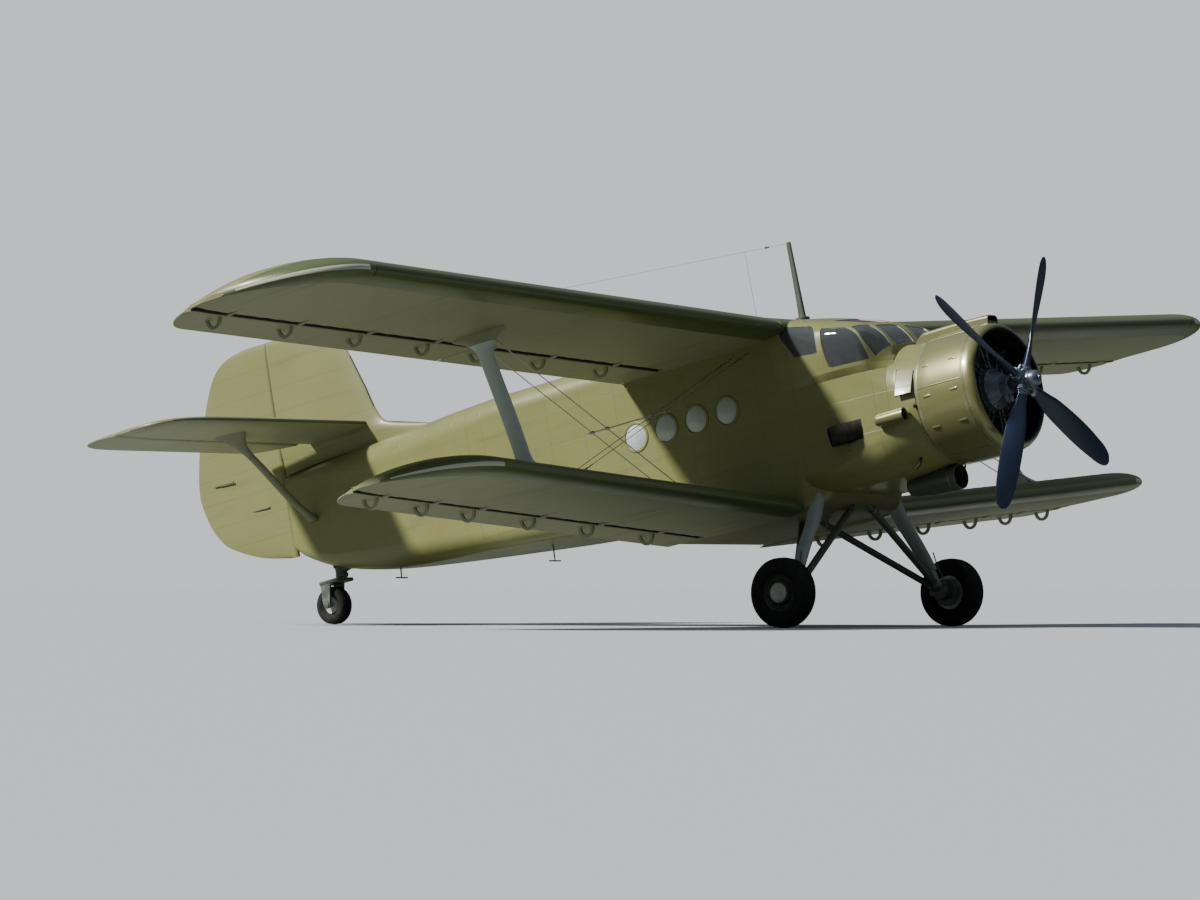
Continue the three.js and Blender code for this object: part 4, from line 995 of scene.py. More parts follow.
# %% Wing sections
# lead and trail: how far in from the tip each edge starts to round off; travel: its flap's, in degrees
Wing = namedtuple("Wing", "half chord x z dihedral incidence lead trail travel")
UPPER = Wing(9.088, 2.40, -2.515, 1.172, 3.0, 3.1, 1.00, 0.55, 30)
LOWER = Wing(7.118, 2.00, -2.640, -0.942, 4.3, 1.3, 0.90, 0.48, 40)
ROOT = 0.9003
TIP_REACH = 0.62
CAMBER = 0.038
CREST = 0.4
THICKNESS = 0.14
METAL_NOSE = 0.13
BAY_CUT = 0.735
HINGE = 0.775
FLAP_NOSE = 0.75
THIN_NOSE = 0.0125
EDGE = 0.0028
SAG = 0.0045
CLOTH_START, CLOTH_RAMP, CLOTH_END = 0.16, 0.12, 0.08
SPLIT = 4.3
SLAT_END = 8.06


def heights(a):
    """Upper and lower surface over the chord line at a share of the chord."""
    bend = 2 * CREST * a - a * a
    mean = bend / CREST**2 if a < CREST else (bend + 1 - 2 * CREST) / (1 - CREST) ** 2
    mean *= CAMBER
    half = 5 * THICKNESS * (0.2969 * sqrt(a) - 0.126 * a - 0.3516 * a**2 + 0.2843 * a**3 - 0.1022 * a**4)
    return mean + half, mean - half


def wing_place(wing, y, a, h):
    """The point at a share of the chord and a height over it, in chords."""
    tilt = radians(wing.incidence)
    base = wing.z + tan(radians(wing.dihedral)) * y
    along, over = a * wing.chord, h * wing.chord
    return Vector((wing.x - along * cos(tilt) - over * sin(tilt), y,
                   base - along * sin(tilt) + over * cos(tilt)))


def chord_share(wing, point):
    """Share of the chord for a point on either side."""
    tilt = radians(wing.incidence)
    dx = wing.x - point[0]
    dz = point[2] - wing.z - tan(radians(wing.dihedral)) * abs(point[1])
    return (dx * cos(tilt) - dz * sin(tilt)) / wing.chord


def tip_share(wing, y):
    """Where the section starts and ends as the rounded tip draws it in."""
    lead, trail = [max(0.0, (y - wing.half + r) / r) for r in (wing.lead, wing.trail)]
    return (TIP_REACH * (1 - sqrt(max(0, 1 - lead * lead))),
            TIP_REACH + (1 - TIP_REACH) * sqrt(max(0, 1 - trail * trail)))


def tip_heights(wing, y, a):
    """The heights where the rounded tip has drawn the section in."""
    first, last = tip_share(wing, y)
    return [h * (last - first) for h in heights((a - first) / (last - first))]


def sag_at(y, a):
    """How far the cloth sinks between two ribs, zero on the ribs and on the metal nose."""
    bay = ((y - ROOT) / RIB_PITCH) % 1
    slack = min(1, max(0, (a - CLOTH_START) / CLOTH_RAMP)) * min(1, (1 - a) / CLOTH_END)
    return SAG * sin(pi * bay) ** 0.6 * slack


def rib_stations(start, end, steps=5):
    """Span stations with the ribs among them."""
    first = ceil((start - ROOT) / RIB_PITCH * steps)
    last = floor((end - ROOT) / RIB_PITCH * steps)
    inner = [ROOT + RIB_PITCH * k / steps for k in range(first, last + 1)]
    return [start, *[y for y in inner if start + 0.01 < y < end - 0.01], end]


def section(sink):
    """The whole section from the trailing edge over the top and back; sink(a) is how far cloth sags."""
    shares = [(1 - cos(t)) / 2 for t in arc(0, 180, 26)]
    over = [(a, EDGE if a == 1 else heights(a)[0] - sink(a)) for a in reversed(shares)]
    return over + [(a, -EDGE if a == 1 else heights(a)[1] + sink(a)) for a in shares[1:]]


def wing_ring(wing, y):
    first, last = tip_share(wing, y)
    size = last - first
    ring = section(lambda a: sag_at(y, a) / wing.chord)
    return [wing_place(wing, y, first + a * size, h * size) for a, h in ring]


def eased(start, reach, steps, sweep=pi / 2):
    """Stations along a rounded tip, closer and closer towards its end."""
    return [start + reach * sin(sweep * k / steps) for k in range(1, steps + 1)]


def wing_body(wing):
    tip = wing.half - wing.lead
    stations = rib_stations(ROOT, tip) + eased(tip, wing.lead - 0.006, 22)[:-1]
    return loft([wing_ring(wing, y) for y in (*stations, wing.half - 0.0075)])


def span_prism(wing, profile, y0, y1, steps=1):
    return loft([[wing_place(wing, y, a, h) for a, h in profile] for y in even(y0, y1, steps)])


def wing_paint(wing):
    """0 cloth above, 1 cloth below, 2 metal nose darkened as painted shade, 3 painted highlight round the
    tip's edge, 4 painted shade on the bay walls.
    """

    def rule(centre, normal):
        from_tip = wing.half - abs(centre.y)
        first, last = tip_share(wing, wing.half - max(from_tip, 0.002))
        local = (chord_share(wing, centre) - first) / (last - first)
        if BAY_CUT - 0.022 < local < 0.9 and abs(normal.x) > 0.5 and from_tip > 0.1:
            return 4
        if from_tip < wing.lead * 0.93 and local < 0.006 and normal.z < 0.35:
            return 3
        return 2 if local < METAL_NOSE else normal.z <= 0

    return rule


# %% [markdown]
# The fixed panel is the whole wing with two bays taken out: one for the slat along the nose, one for
# the flap and aileron behind. A thin lip of the upper skin carries on over the hinge gap, so that
# from above only a line shows, while from below the gap stays open and dark. Towards the rounded tip
# the flap's nose lies lower than its hinge line and swings up as it turns, and there the lip rises.

# %% Fixed wing panels and slats
BAY = ((0.719, -0.1), (0.719, 0.0), (BAY_CUT, 0.03), (BAY_CUT, 0.12), (1.05, 0.12), (1.05, -0.1))
SLAT_LOW = (0.03, heights(0.03)[1])
SLAT_INNER = ((0.14, 0.0806), (0.095, 0.058), (0.065, 0.03), (0.045, -0.005), SLAT_LOW)
SLAT_BAY = (
    (0.165, 0.12), (0.165, heights(0.165)[0] + 0.0005), (0.143, 0.0762), (0.1, 0.0535), (0.071, 0.0265),
    (0.051, -0.008), (0.0305, SLAT_LOW[1] - 0.0002), (0.03, -0.06), (-0.05, -0.06), (-0.05, 0.12),
)
BAY_START = 0.935
LIP_SHARES = (0.734, 0.745, 0.756, 0.764)
LIP_GAP = 0.0022
LIP_THICK = 0.0014


def control_nose(wing, y):
    """Middle, half height and reach of the nose of a flap or aileron."""
    up, low = tip_heights(wing, y, HINGE)
    half = max((up - low) / 2, THIN_NOSE)
    return (up + low) / 2, half, min(HINGE - FLAP_NOSE, half)


def hinge_lip(wing):
    """A strip of skin that bridges the gap, just above the nose of the flap or aileron."""
    start, end = wing.half - wing.lead, wing.half - 0.06
    hinge = sum(heights(HINGE)) / 2
    rise = 1 - cos(radians(wing.travel))
    rings = []
    for y in [BAY_START, start, *eased(start, end - start, 14)]:
        middle, half, _ = control_nose(wing, y)
        swung = middle + half + rise * (hinge - middle) + LIP_GAP
        top = []
        for a in LIP_SHARES:
            skin = tip_heights(wing, y, a)[0]
            top.append((a, skin if a < FLAP_NOSE else max(skin, swung)))
        under = [(a, h - LIP_THICK) for a, h in reversed(top)]
        rings.append([wing_place(wing, y, a, h) for a, h in top + under])
    return loft(rings)


# The walls of each bay are painted near black: painted shade that keeps the gap dark.
for word, wing in (("upper", UPPER), ("lower", LOWER)):
    bays = [span_prism(wing, BAY, BAY_START, wing.half - 0.055)]
    if wing is UPPER:
        bays.append(span_prism(wing, SLAT_BAY, 0.88, SLAT_END + 0.012))
    panel = paint_faces(carve(wing_body(wing), *bays), wing_paint(wing))
    dress_pair([panel, hinge_lip(wing)], word + "_wing_panel",
               "olive_cloth khaki_cloth wing_nose edge_strip dark_inside", word + "_wing_side")

SLAT_NOSE = [(a, heights(a)[1]) for a in (0.02, 0.012, 0.006, 0.002)]
SLAT_NOSE += [(a, heights(a)[0]) for a in (0.0, 0.002, 0.006, 0.012, 0.022, 0.036, 0.055, 0.08, 0.11)]
slat = span_prism(UPPER, [*SLAT_INNER, *SLAT_NOSE], ROOT + 0.02, SLAT_END, 27)
dress_pair(slat, "leading_edge_slat", "wing_nose", "slat_side")

# %% [markdown]
# Flaps and ailerons share one maker. The nose is an ellipse about the hinge, so the gap to the wing
# stays the same as it turns, and the trailing edge follows the wing's rounded tip.
#
# Below each hangs a row of half rings, the fairings of its hinge arms. They turn with the surface, and
# a small pad on the wing in front of the gap faces each one. Both are placed by the wing's formula.

# %% Flaps, ailerons, hinge brackets and pads


def control_ring(wing, y):
    last = tip_share(wing, y)[1]
    middle, half, reach = control_nose(wing, y)
    up, low = tip_heights(wing, y, HINGE)
    extra = half - (up - low) / 2
    top, under = [], []
    for share in even(0, 1, 7):
        a = HINGE + (last - HINGE) * share
        up, low = tip_heights(wing, y, min(a, last - 1e-6))
        proud = extra * (1 - share) - sag_at(y, HINGE + (1 - HINGE) * share) / wing.chord
        top.append((a, EDGE if share == 1 else up + proud))
        under.append((a, -EDGE if share == 1 else low - proud))
    nose = [(HINGE + cos(t) * reach, middle + sin(t) * half) for t in arc(90, 270, 14)[1:-1]]
    return [wing_place(wing, y, a, h) for a, h in top[::-1] + nose + under]


def control_surface(wing, y0, y1):
    curve_start = wing.half - wing.trail
    stations = rib_stations(y0, min(y1, curve_start))
    if y1 > curve_start:
        stations += eased(curve_start, wing.trail, 12, asin((y1 - curve_start) / wing.trail))
    return loft([control_ring(wing, y) for y in stations])


def bracket(wing, y):
    """A half ring behind the hinge, hanging from the underside."""
    middle = wing_place(wing, y, HINGE, heights(HINGE)[1]) + Vector((-0.115, 0, 0.012))
    rings = []
    for t in arc(0, 180, 14):
        out = Vector((-cos(t), 0, -sin(t)))
        spine = middle + Vector((out.x * 0.09, 0, out.z * 0.108))
        corners = ((0.017, 0.015), (0.017, -0.015), (-0.017, -0.015), (-0.017, 0.015))
        rings.append([spine + out * a + PORT * b for a, b in corners])
    return loft(rings)


def pad(wing, y):
    """A faired foot in front of the gap."""
    rings = []
    for a, wide, deep in ((0.68, 0.008, 0.003), (0.692, 0.018, 0.01), (0.706, 0.022, 0.018),
                          (0.722, 0.021, 0.022), (0.74, 0.015, 0.018)):
        middle = wing_place(wing, y, a, heights(a)[1]) - Vector((0, 0, deep / 2 - 0.006))
        rings.append([middle + Vector((0, cos(t) * wide, sin(t) * (deep / 2 + 0.006))) for t in turns(10)])
    return loft(rings)


# The forward-facing nose of each flap and aileron is painted near black as shade in its slot.
for name, wing, y0, y1, places in (
    ("upper_flap", UPPER, 0.95, SPLIT - 0.01, (1.85, 3.00, 4.1)),
    ("aileron", UPPER, SPLIT + 0.01, 9.005, (5.05, 6.2, 7.35, 8.5)),
    ("lower_flap", LOWER, 0.95, 7.035, (1.75, 2.85, 3.9, 4.95, 5.75, 6.6)),
):
    node = name + "_side"
    dress_pair(control_surface(wing, y0, y1), name + "_skin",
               "olive_cloth khaki_cloth dark_inside", node, body=node,
               rule=lambda centre, normal: 2 if normal.x > 0.5 else normal.z <= 0)
    brackets = [bracket(wing, y) for y in places]
    dress_pair(brackets, name + "_brackets", "bracket_paint", body=node)
    pads = [pad(wing, y) for y in places]
    dress_pair(pads, name + "_hinge_pads", "bracket_paint")

# %% [markdown]
# ## Wing roots
# Over the cabin the upper wing's spars cross the body under a smooth cover that has the wing's own
# section. Its underside is hidden in the roof.

# %% Upper centre section
COVER_HALF = 0.9
root = [wing_place(UPPER, COVER_HALF, a, h) for a, h in section(lambda a: 0)]
roof = loft([[(p.x, y, p.z) for p in root] for y in even(-COVER_HALF, COVER_HALF, 6)])
dress(roof, "wing_root_cover", "olive_cloth wing_nose", "upper_centre_section",
      rule=lambda centre, normal: chord_share(UPPER, (centre.x, COVER_HALF, centre.z)) < METAL_NOSE)

# %% [markdown]
# ## Fin and rudder
# The fin is a tapering symmetric section with a straight back, the rudder a rounded sheet that turns
# about that back. Tables of height against edge and thickness give the outline, drawn through the same
# smooth curves as the body, so the top is one clean line.

# %% Fin and rudder
FIN_AT = curves((  # z, leading edge x, half thickness
    (1.3, -8.25, 0.03), (1.44, -8.42, 0.034), (1.53, -8.75, 0.046), (1.69, -9.27, 0.068),
    (2.2, -9.48, 0.062), (2.68, -9.67, 0.054), (2.88, -9.78, 0.046), (3.00, -9.95, 0.038),
    (3.05, -10.18, 0.026),
))
RUDDER_AT = curves((  # z, trailing edge x, half thickness at the hinge
    (0.33, -11.08, 0.034), (0.42, -11.5, 0.04), (0.58, -11.89, 0.046), (0.724, -12.12, 0.048),
    (1.06, -12.325, 0.05), (1.4, -12.401, 0.05), (1.846, -12.325, 0.048), (2.37, -12.12, 0.044),
    (2.7, -11.96, 0.038), (2.89, -11.81, 0.032), (3.00, -11.6, 0.026), (3.05, -11.35, 0.018),
))
FIN_FOOT, FIN_TOP = 1.3, 3.05
RUDDER_FOOT = 0.33
FIN_BACK = -10.935
RUDDER_HINGE = -11.00
RUDDER_NOSE = 0.058
THICKEST = 0.32
THIN_EDGE = 0.005
EDGE_FACING = 0.72


def fixed_outline(lead, back, thick):
    """A symmetric section, closely stepped round its nose."""
    half = []
    for share in [1 - cos(t) for t in arc(0, 90, 12)]:
        if share < THICKEST:
            size = sqrt(1 - (1 - share / THICKEST) ** 2)
        else:
            size = 1 - 0.32 * ((share - THICKEST) / (1 - THICKEST)) ** 2
        half.append((lead + (back - lead) * share, thick * size))
    return half + [(x, -h) for x, h in reversed(half[1:])]


def moving_outline(hinge, reach, trail, thick, count):
    """A rudder or elevator section: a thin trailing edge and a round nose about the hinge."""
    half = [(hinge - (hinge - trail) * s, THIN_EDGE + (thick - THIN_EDGE) * (1 - s) ** 0.9)
            for s in even(1, 0, count)[:-1]]
    nose = [(hinge - cos(t) * reach, sin(t) * thick) for t in arc(90, 270, 14)]
    return half + nose + [(x, -h) for x, h in reversed(half)]


def edge_steps(low, high, pitch, soft=0.12):
    """Even steps with closer ones towards the end, where the outline turns."""
    return [*spread(low, high - soft, pitch), *even(high - soft, high, 6)[1:]]


def fin_ring(z):
    lead, thick = FIN_AT(z)
    return [(x, y, z) for x, y in fixed_outline(lead, FIN_BACK, thick)]


def rudder_ring(z):
    trail, thick = RUDDER_AT(z)
    return [(x, y, z) for x, y in moving_outline(RUDDER_HINGE, RUDDER_NOSE, trail, thick, 9)]


dress(loft([fin_ring(z) for z in edge_steps(FIN_FOOT, FIN_TOP, 0.06)]), "fin_skin",
      "tail_cloth dark_green", "fin",
      rule=lambda centre, normal: normal.x > EDGE_FACING and centre.z > 1.6)
low_steps = [RUDDER_FOOT + 0.12 * (k / 6) ** 1.5 for k in range(6)]
dress(loft([rudder_ring(z) for z in [*low_steps, *edge_steps(RUDDER_FOOT + 0.12, FIN_TOP, 0.05)]]),
      "rudder_skin", "tail_cloth", "rudder", body="rudder")

# %% [markdown]
# ## Tailplane
# The stabiliser has a thin dark leading edge and stands on a braced strut. Its elevator turns about a
# round nose. Ribs show here too, but as shallow tapes, so the shader alone makes them.

# %% Stabilisers and elevators
TAILPLANE_AT = curves((  # y, leading edge x, trailing edge x, half thickness
    (0.02, -9.5, -11.25, 0.088), (2.7, -9.545, -11.25, 0.07), (3.15, -9.59, -11.215, 0.056),
    (3.4, -9.7, -11.11, 0.044), (3.53, -9.87, -10.96, 0.032), (3.6, -10.2, -10.72, 0.018),
))
STAB_Z = 1.7
STAB_BACK = -10.44
ELEVATOR_HINGE = -10.515
ELEVATOR_NOSE = 0.066


def stabiliser_ring(y):
    lead, _, thick = TAILPLANE_AT(y)
    return [(x, y, STAB_Z + h) for x, h in fixed_outline(lead, STAB_BACK, thick)]


def elevator_ring(y):
    _, trail, thick = TAILPLANE_AT(y)
    outline = moving_outline(ELEVATOR_HINGE, ELEVATOR_NOSE, trail, thick * 0.8, 8)
    return [(x, y, STAB_Z + h) for x, h in outline]


def plane_paint(centre, normal):
    """0 cloth above, 1 cloth below, 2 the dark leading edge."""
    return 2 if normal.x > EDGE_FACING and abs(centre.z - STAB_Z) < 0.05 else normal.z <= 0


dress_pair(loft([stabiliser_ring(y) for y in edge_steps(0.045, 3.6, 0.15, 0.3)]), "stabiliser_skin",
           "plane_cloth plane_under dark_green", "stabiliser_side", rule=plane_paint)
dress_pair(loft([elevator_ring(y) for y in edge_steps(0.25, 3.585, 0.15, 0.3)]), "elevator_skin",
           "plane_cloth plane_under", "elevator_side", body="elevator_side",
           rule=lambda centre, normal: normal.z <= 0)

# %% [markdown]
# ## Engine cowl
# The cowl is a rolled ring in front and a barrel behind it, spun from sheet. Turned profiles give both.
# Thin raised bands and a few latches break up the plain barrel the way the real sheets and straps do.

# %% Cowl ring, barrel and latches
cowl_outer = smooth((-0.985, -0.8, -0.56, -0.3, -0.235, -0.197, -0.185),
                    (0.745, 0.758, 0.76, 0.752, 0.738, 0.705, 0.665))
COWL_RING = (
    (-0.302, 0.751), (-0.27, 0.7465), (-0.245, 0.7405), (-0.222, 0.73), (-0.204, 0.7145), (-0.191, 0.695),
    (-0.185, 0.675), (-0.187, 0.66), (-0.197, 0.652), (-0.215, 0.655), (-0.26, 0.69), (-0.302, 0.722),
)
STRAP = both_ways([(-0.012, -0.002), (-0.011, 0.0022)])
SHEET = 0.01
barrel_steps = spread(-0.306, -0.985, 0.03)
barrel = [(x, cowl_outer(x)) for x in barrel_steps]
barrel += [(x, cowl_outer(x) - SHEET) for x in reversed(barrel_steps)]
cowl_parts = [turned(COWL_RING, sides=128), turned(barrel, sides=128)]
cowl_parts += [turned([(x + a, cowl_outer(x) + r) for a, r in STRAP], sides=128) for x in (-0.335, -0.952)]


def on_barrel(x, angle, rise=0.0):
    r = cowl_outer(x) + rise
    return Vector((x, cos(radians(angle)) * r, sin(radians(angle)) * r))


def latch(x, angle):
    """A toggle latch lying along the barrel."""
    base = on_barrel(x, angle, -0.004)
    out = (on_barrel(x, angle, 0.01) - base).normalized()
    across = out.cross(AHEAD)
    rings = []
    for a, h in ((-0.055, 0.003), (-0.045, 0.01), (0.03, 0.012), (0.05, 0.006)):
        corners = both_ways([(-0.011, 0), (-0.011, h), (-0.005, h + 0.003)])
        rings.append([base + AHEAD * a + across * b + out * c for b, c in corners])
    return loft(rings)


for angle in (8, 172, -62, -118, 62, 118):
    cowl_parts.append(tube([on_barrel(x, angle, 0.002) for x in spread(-0.345, -0.945, 0.05)], 0.005, 8))
cowl_parts += [latch(x, angle) for x in (-0.45, -0.82) for angle in (0, 180, -28, -152, 28, 152)]
# The cowl's inward faces are painted near black as shade.
dress(cowl_parts, "cowl", "cowl_paint dark_inside", "cowling", sharp=40,
      rule=lambda centre, normal: normal.y * centre.y + normal.z * centre.z < -0.05)

# %% [markdown]
# ## Radial engine
# Nine finned cylinders stand round a crankcase. A fin is only a wide and a narrow radius in turn along
# one profile, so a whole cylinder is a single turned body. Nine copies are placed by a loop, and each
# has its rocker boxes, push rod tubes and plug leads.

# %% Engine
CYLINDERS = 9
CYL_X = -0.56
CASE = (
    (-0.157, 0.0), (-0.157, 0.095), (-0.172, 0.103), (-0.225, 0.112), (-0.236, 0.135), (-0.246, 0.136),
    (-0.255, 0.15), (-0.3, 0.178), (-0.36, 0.212), (-0.372, 0.236), (-0.388, 0.238), (-0.398, 0.226),
    (-0.43, 0.232), (-0.47, 0.262), (-0.52, 0.285), (-0.79, 0.29), (-0.85, 0.4), (-1.015, 0.42),
    (-1.015, 0.0),
)


def finned_barrel(foot, head, angle):
    """One cylinder along its own spoke: a plain foot, fine barrel fins, then deeper head fins."""
    profile = [(foot, 0.0), (foot, 0.088), (foot + 0.03, 0.088)]
    r = foot + 0.03
    for end, low, rim, top, thick, pitch in ((head - 0.16, 0.086, 0.108, 0.108, 0.006, 0.0125),
                                             (head, 0.09, 0.118, 0.116, 0.008, 0.0165)):
        while r < end:
            profile += [(r, low), (r + 0.001, rim), (r + thick, top), (r + thick + 0.001, low)]
            r += pitch
    profile += [(head, 0.085), (head + 0.012, 0.05), (head + 0.014, 0.0)]
    return turned(profile, (CYL_X, 0, 0), (0, cos(angle), sin(angle)), 22)


def spoke_point(angle, r, x=CYL_X, side=0.0):
    """A point out along a spoke round the x axis, and a little aside of it."""
    return Vector((x, cos(angle) * r - sin(angle) * side, sin(angle) * r + cos(angle) * side))


def rocker_box(angle, side):
    """A lidded box on the head."""
    rings = []
    for a, grow in ((-0.035, 1.0), (0.018, 1.0), (0.022, 1.12), (0.03, 1.12), (0.036, 0.8)):
        rings.append([spoke_point(angle, 0.655 + a, CYL_X + 0.015 + sin(t) * 0.062 * grow,
                                  side + cos(t) * 0.028 * grow) for t in turns(16)])
    return loft(rings)


dark_parts, case_parts, pipe_parts = [], [turned(CASE, sides=64)], []
for angle in turns(CYLINDERS, pi / 2):
    dark_parts.append(finned_barrel(0.24, 0.625, angle))
    for side in (-0.058, 0.058):
        dark_parts.append(rocker_box(angle, side))
        rod = [spoke_point(angle, 0.255, -0.425, side * 0.55), spoke_point(angle, 0.62, -0.487, side)]
        case_parts.append(tube(rod, 0.0115))
        lead = ((0.335, -0.385, 0.9), (0.44, -0.405, 1.5), (0.545, -0.432, 1.35), (0.575, -0.455, 0.6))
        pipe_parts.append(tube([spoke_point(angle, r, x, side * out) for r, x, out in lead], 0.0055, 8))
    half_way = angle + pi / CYLINDERS
    baffle = ((0.36, -0.012), (0.66, -0.055), (0.66, 0.055), (0.36, 0.012))
    dark_parts.append(loft([[spoke_point(half_way, r, x, s) for r, s in baffle] for x in (-0.52, -0.516)]))
    intake = [spoke_point(half_way, 0.3, -0.72), spoke_point(half_way, 0.45, -0.7)]
    pipe_parts.append(tube([*intake, spoke_point(angle, 0.58, -0.66, 0.08)], 0.03, 12))

lead_ring = [(-0.385 + 0.011 * cos(t), 0.335 + 0.011 * sin(t)) for t in turns(10)]
pipe_parts.append(turned(lead_ring, sides=72))
for t in turns(18):
    for x, r in ((-0.366, 0.224), (-0.23, 0.124)):
        case_parts.append(stud(spoke_point(t, r, x), AHEAD, 0.0075, 0.014))
for angle in (250, 290):
    case_parts.append(drum(spoke_point(radians(angle), 0.155, -0.3), AHEAD, 0.04, 0.16, 24))
dark_parts.append(turned([(-0.6, 0.29), (-0.6, 0.735), (-0.606, 0.735), (-0.606, 0.29)], sides=64))
dress(dark_parts, "engine_cylinders", "cast_dark", "engine", sharp=35)
dress(case_parts, "engine_case", "case_blue", sharp=35)
dress(pipe_parts, "engine_pipes", "burnt_pipe")

# %% [markdown]
# ## Propeller
# Four blades twist from coarse at the hub to fine at the tip. Each station is a lens-shaped section
# set at its own angle, so the twist is simply there. Blender's own screw or twist modifiers would turn
# all of the blade by one law, and a real one follows its table.

# %% Propeller
BLADE_AT = curves((  # radius, chord, thickness, blade angle in degrees
    (0.09, 0.12, 0.11, 50), (0.3, 0.15, 0.084, 44), (0.64, 0.24, 0.046, 34), (1.15, 0.278, 0.028, 24),
    (1.55, 0.24, 0.02, 18), (1.7, 0.15, 0.013, 17), (1.742, 0.05, 0.009, 16),
))
TIP_STEPS = (1.64, 1.67, 1.695, 1.715, 1.729, 1.738, 1.742)
BLADES = 4
REST_TURN = 58
HUB = (
    (-0.1547, 0.0), (-0.1547, 0.08), (-0.1, 0.088), (-0.09, 0.118), (-0.07, 0.126), (0.055, 0.126),
    (0.074, 0.118), (0.082, 0.1), (0.118, 0.096), (0.122, 0.108), (0.136, 0.108), (0.142, 0.098),
    (0.182, 0.092), (0.206, 0.078), (0.222, 0.052), (0.229, 0.028), (0.24, 0.026), (0.24, 0.0),
)
COLLAR = (
    (0.085, 0.0), (0.085, 0.07), (0.125, 0.074), (0.13, 0.082), (0.15, 0.082), (0.155, 0.072),
    (0.18, 0.072), (0.186, 0.06), (0.21, 0.058), (0.21, 0.0),
)


def blade(turn):
    """One blade, turned about the shaft from upright."""
    place = Matrix.Rotation(turn, 3, "X")
    rings = []
    for r in (*spread(0.09, 1.6, 0.045), *TIP_STEPS):
        chord, thick, pitch = BLADE_AT(r)
        b = radians(pitch)
        blend = min(1, max(0, (r - 0.14) / 0.35))
        ring = []
        for t in turns(28):
            c = (cos(t) / 2 + 0.06) * chord
            n = sin(t) * (1 - 0.125 * blend * (1 - sin(t))) * thick / 2
            ring.append(place @ Vector((c * sin(b) + n * cos(b), n * sin(b) - c * cos(b), r)))
        rings.append(ring)
    return loft(rings)


blades, hub_parts = [], [turned(HUB, sides=56)]
for t in turns(BLADES, radians(REST_TURN - 90)):
    blades.append(blade(t))
    spoke, across = Vector((0, -sin(t), cos(t))), Vector((0, cos(t), sin(t)))
    hub_parts.append(turned(COLLAR, axis=spoke))
    weight = spoke * 0.15 + across * 0.075 + AHEAD * 0.045
    hub_parts.append(drum(weight, (0.5, across.y, across.z), 0.026, 0.07, 20))
    for s in turns(3, pi / 2):
        hub_parts.append(stud(spoke_point(t + s, 0.088, 0.137), AHEAD, 0.008, 0.014))
dress(blades, "propeller_blades", "blade_paint", "propeller", body="propeller")
dress(hub_parts, "propeller_hub", "hub_steel", body="propeller", sharp=35)

# %% [markdown]
# ## Struts between the wings
# One wide strut on each side joins the wings, streamlined, and flared at both ends like the capital of
# a column. A loft through sections that swell towards the skins gives the flare without any blending
# by hand. The port strut carries the air speed probe.

# %% Interplane struts
STRUT_Y = 4.85
STRUT = (  # z, x centre, chord, thickness
    (-0.6, -3.46, 0.64, 0.12), (-0.4, -3.46, 0.6, 0.11), (-0.33, -3.468, 0.43, 0.092),
    (-0.24, -3.485, 0.26, 0.076), (-0.12, -3.503, 0.215, 0.07), (1.000, -3.757, 0.215, 0.07),
    (1.12, -3.782, 0.26, 0.076), (1.21, -3.805, 0.46, 0.092), (1.29, -3.83, 0.78, 0.11),
    (1.42, -3.84, 0.86, 0.12),
)


def strut_body(rows, pitch):
    """A streamlined strut through sections that lie flat, blunt in front and thin behind."""
    shape = curves(rows)
    rings = []
    for z in spread(rows[0][0], rows[-1][0], pitch):
        x, chord, thick, y = shape(z)
        rings.append([(x + chord * cos(t) / 2, y + sin(t) * thick / 2 * (1 + 0.22 * cos(t)), z)
                      for t in turns(36)])
    return loft(rings)


strut = strut_body([(*row, STRUT_Y) for row in STRUT], 0.03)
dress_pair(strut, "interplane_strut_fairing", "strut_paint bracket_paint",
           "interplane_strut_side", rule=lambda centre, normal: centre.z > 1.17)
probe = [(x, STRUT_Y, z) for x, z in ((-3.6, 0.47), (-3.1, 0.455), (-3.06, 0.454), (-2.955, 0.45))]
clamp = drum((-3.535, STRUT_Y, 0.468), AHEAD, 0.022, 0.06, 20)
dress([tube(probe, [0.016, 0.015, 0.011, 0.009], 16), clamp], "air_speed_probe",
      "strut_paint")

# %% [markdown]
# ## Bracing wires
# Flat steel wires cross between the wings in pairs, and a rod ties them where they cross. Each ends in
# a fork and a turnbuckle. They are taut rigging, fixed at both ends, so they are plain straight bodies.

# %% Bracing wires
WIRES = (
    ((-4.15, 0.8, -0.72), (-4.08, 4.79, 1.4)), ((-3.93, 0.8, -0.72), (-3.86, 4.79, 1.4)),
    ((-3.18, 4.76, -0.56), (-3.3, 0.8, 1.06)), ((-2.99, 4.76, -0.56), (-3.08, 0.8, 1.06)),
)
ROD_Y, ROD_Z = 2.693, 0.286
CLIP = both_ways([(-0.03, 0), (-0.03, 0.014), (-0.012, 0.02)])
rigging = [tube([(x, ROD_Y, ROD_Z) for x in (-4.17, -3.5775, -2.985)], 0.0125, 16, 0.6)]
for start, end in WIRES:
    start, end = Vector(start), Vector(end)
    rigging.append(tube([start.lerp(end, s) for s in (0, 0.25, 0.5, 0.75, 1)], 0.0085, 12, 0.42))
    for s, way in ((0.045 if start.y < 2 else 0.075, 1), (0.925, -1)):
        a, b, c = [start.lerp(end, s + way * d) for d in (-0.015, 0.018, 0.05)]
        rigging.append(tube([a, b, b.lerp(c, 0.15), c], [0.0125, 0.0125, 0.008, 0.006], 12))
    cross = start.lerp(end, (ROD_Y - start.y) / (end.y - start.y))
    rigging.append(turned(CLIP, (cross.x, ROD_Y, ROD_Z), sides=16))
dress_pair(rigging, "bracing_wire_set", "wire_steel", "bracing_wires_side")

# %% [markdown]
# ## Tail struts
# A short wide strut props each half of the tailplane. It flares into the stabiliser and into the body.

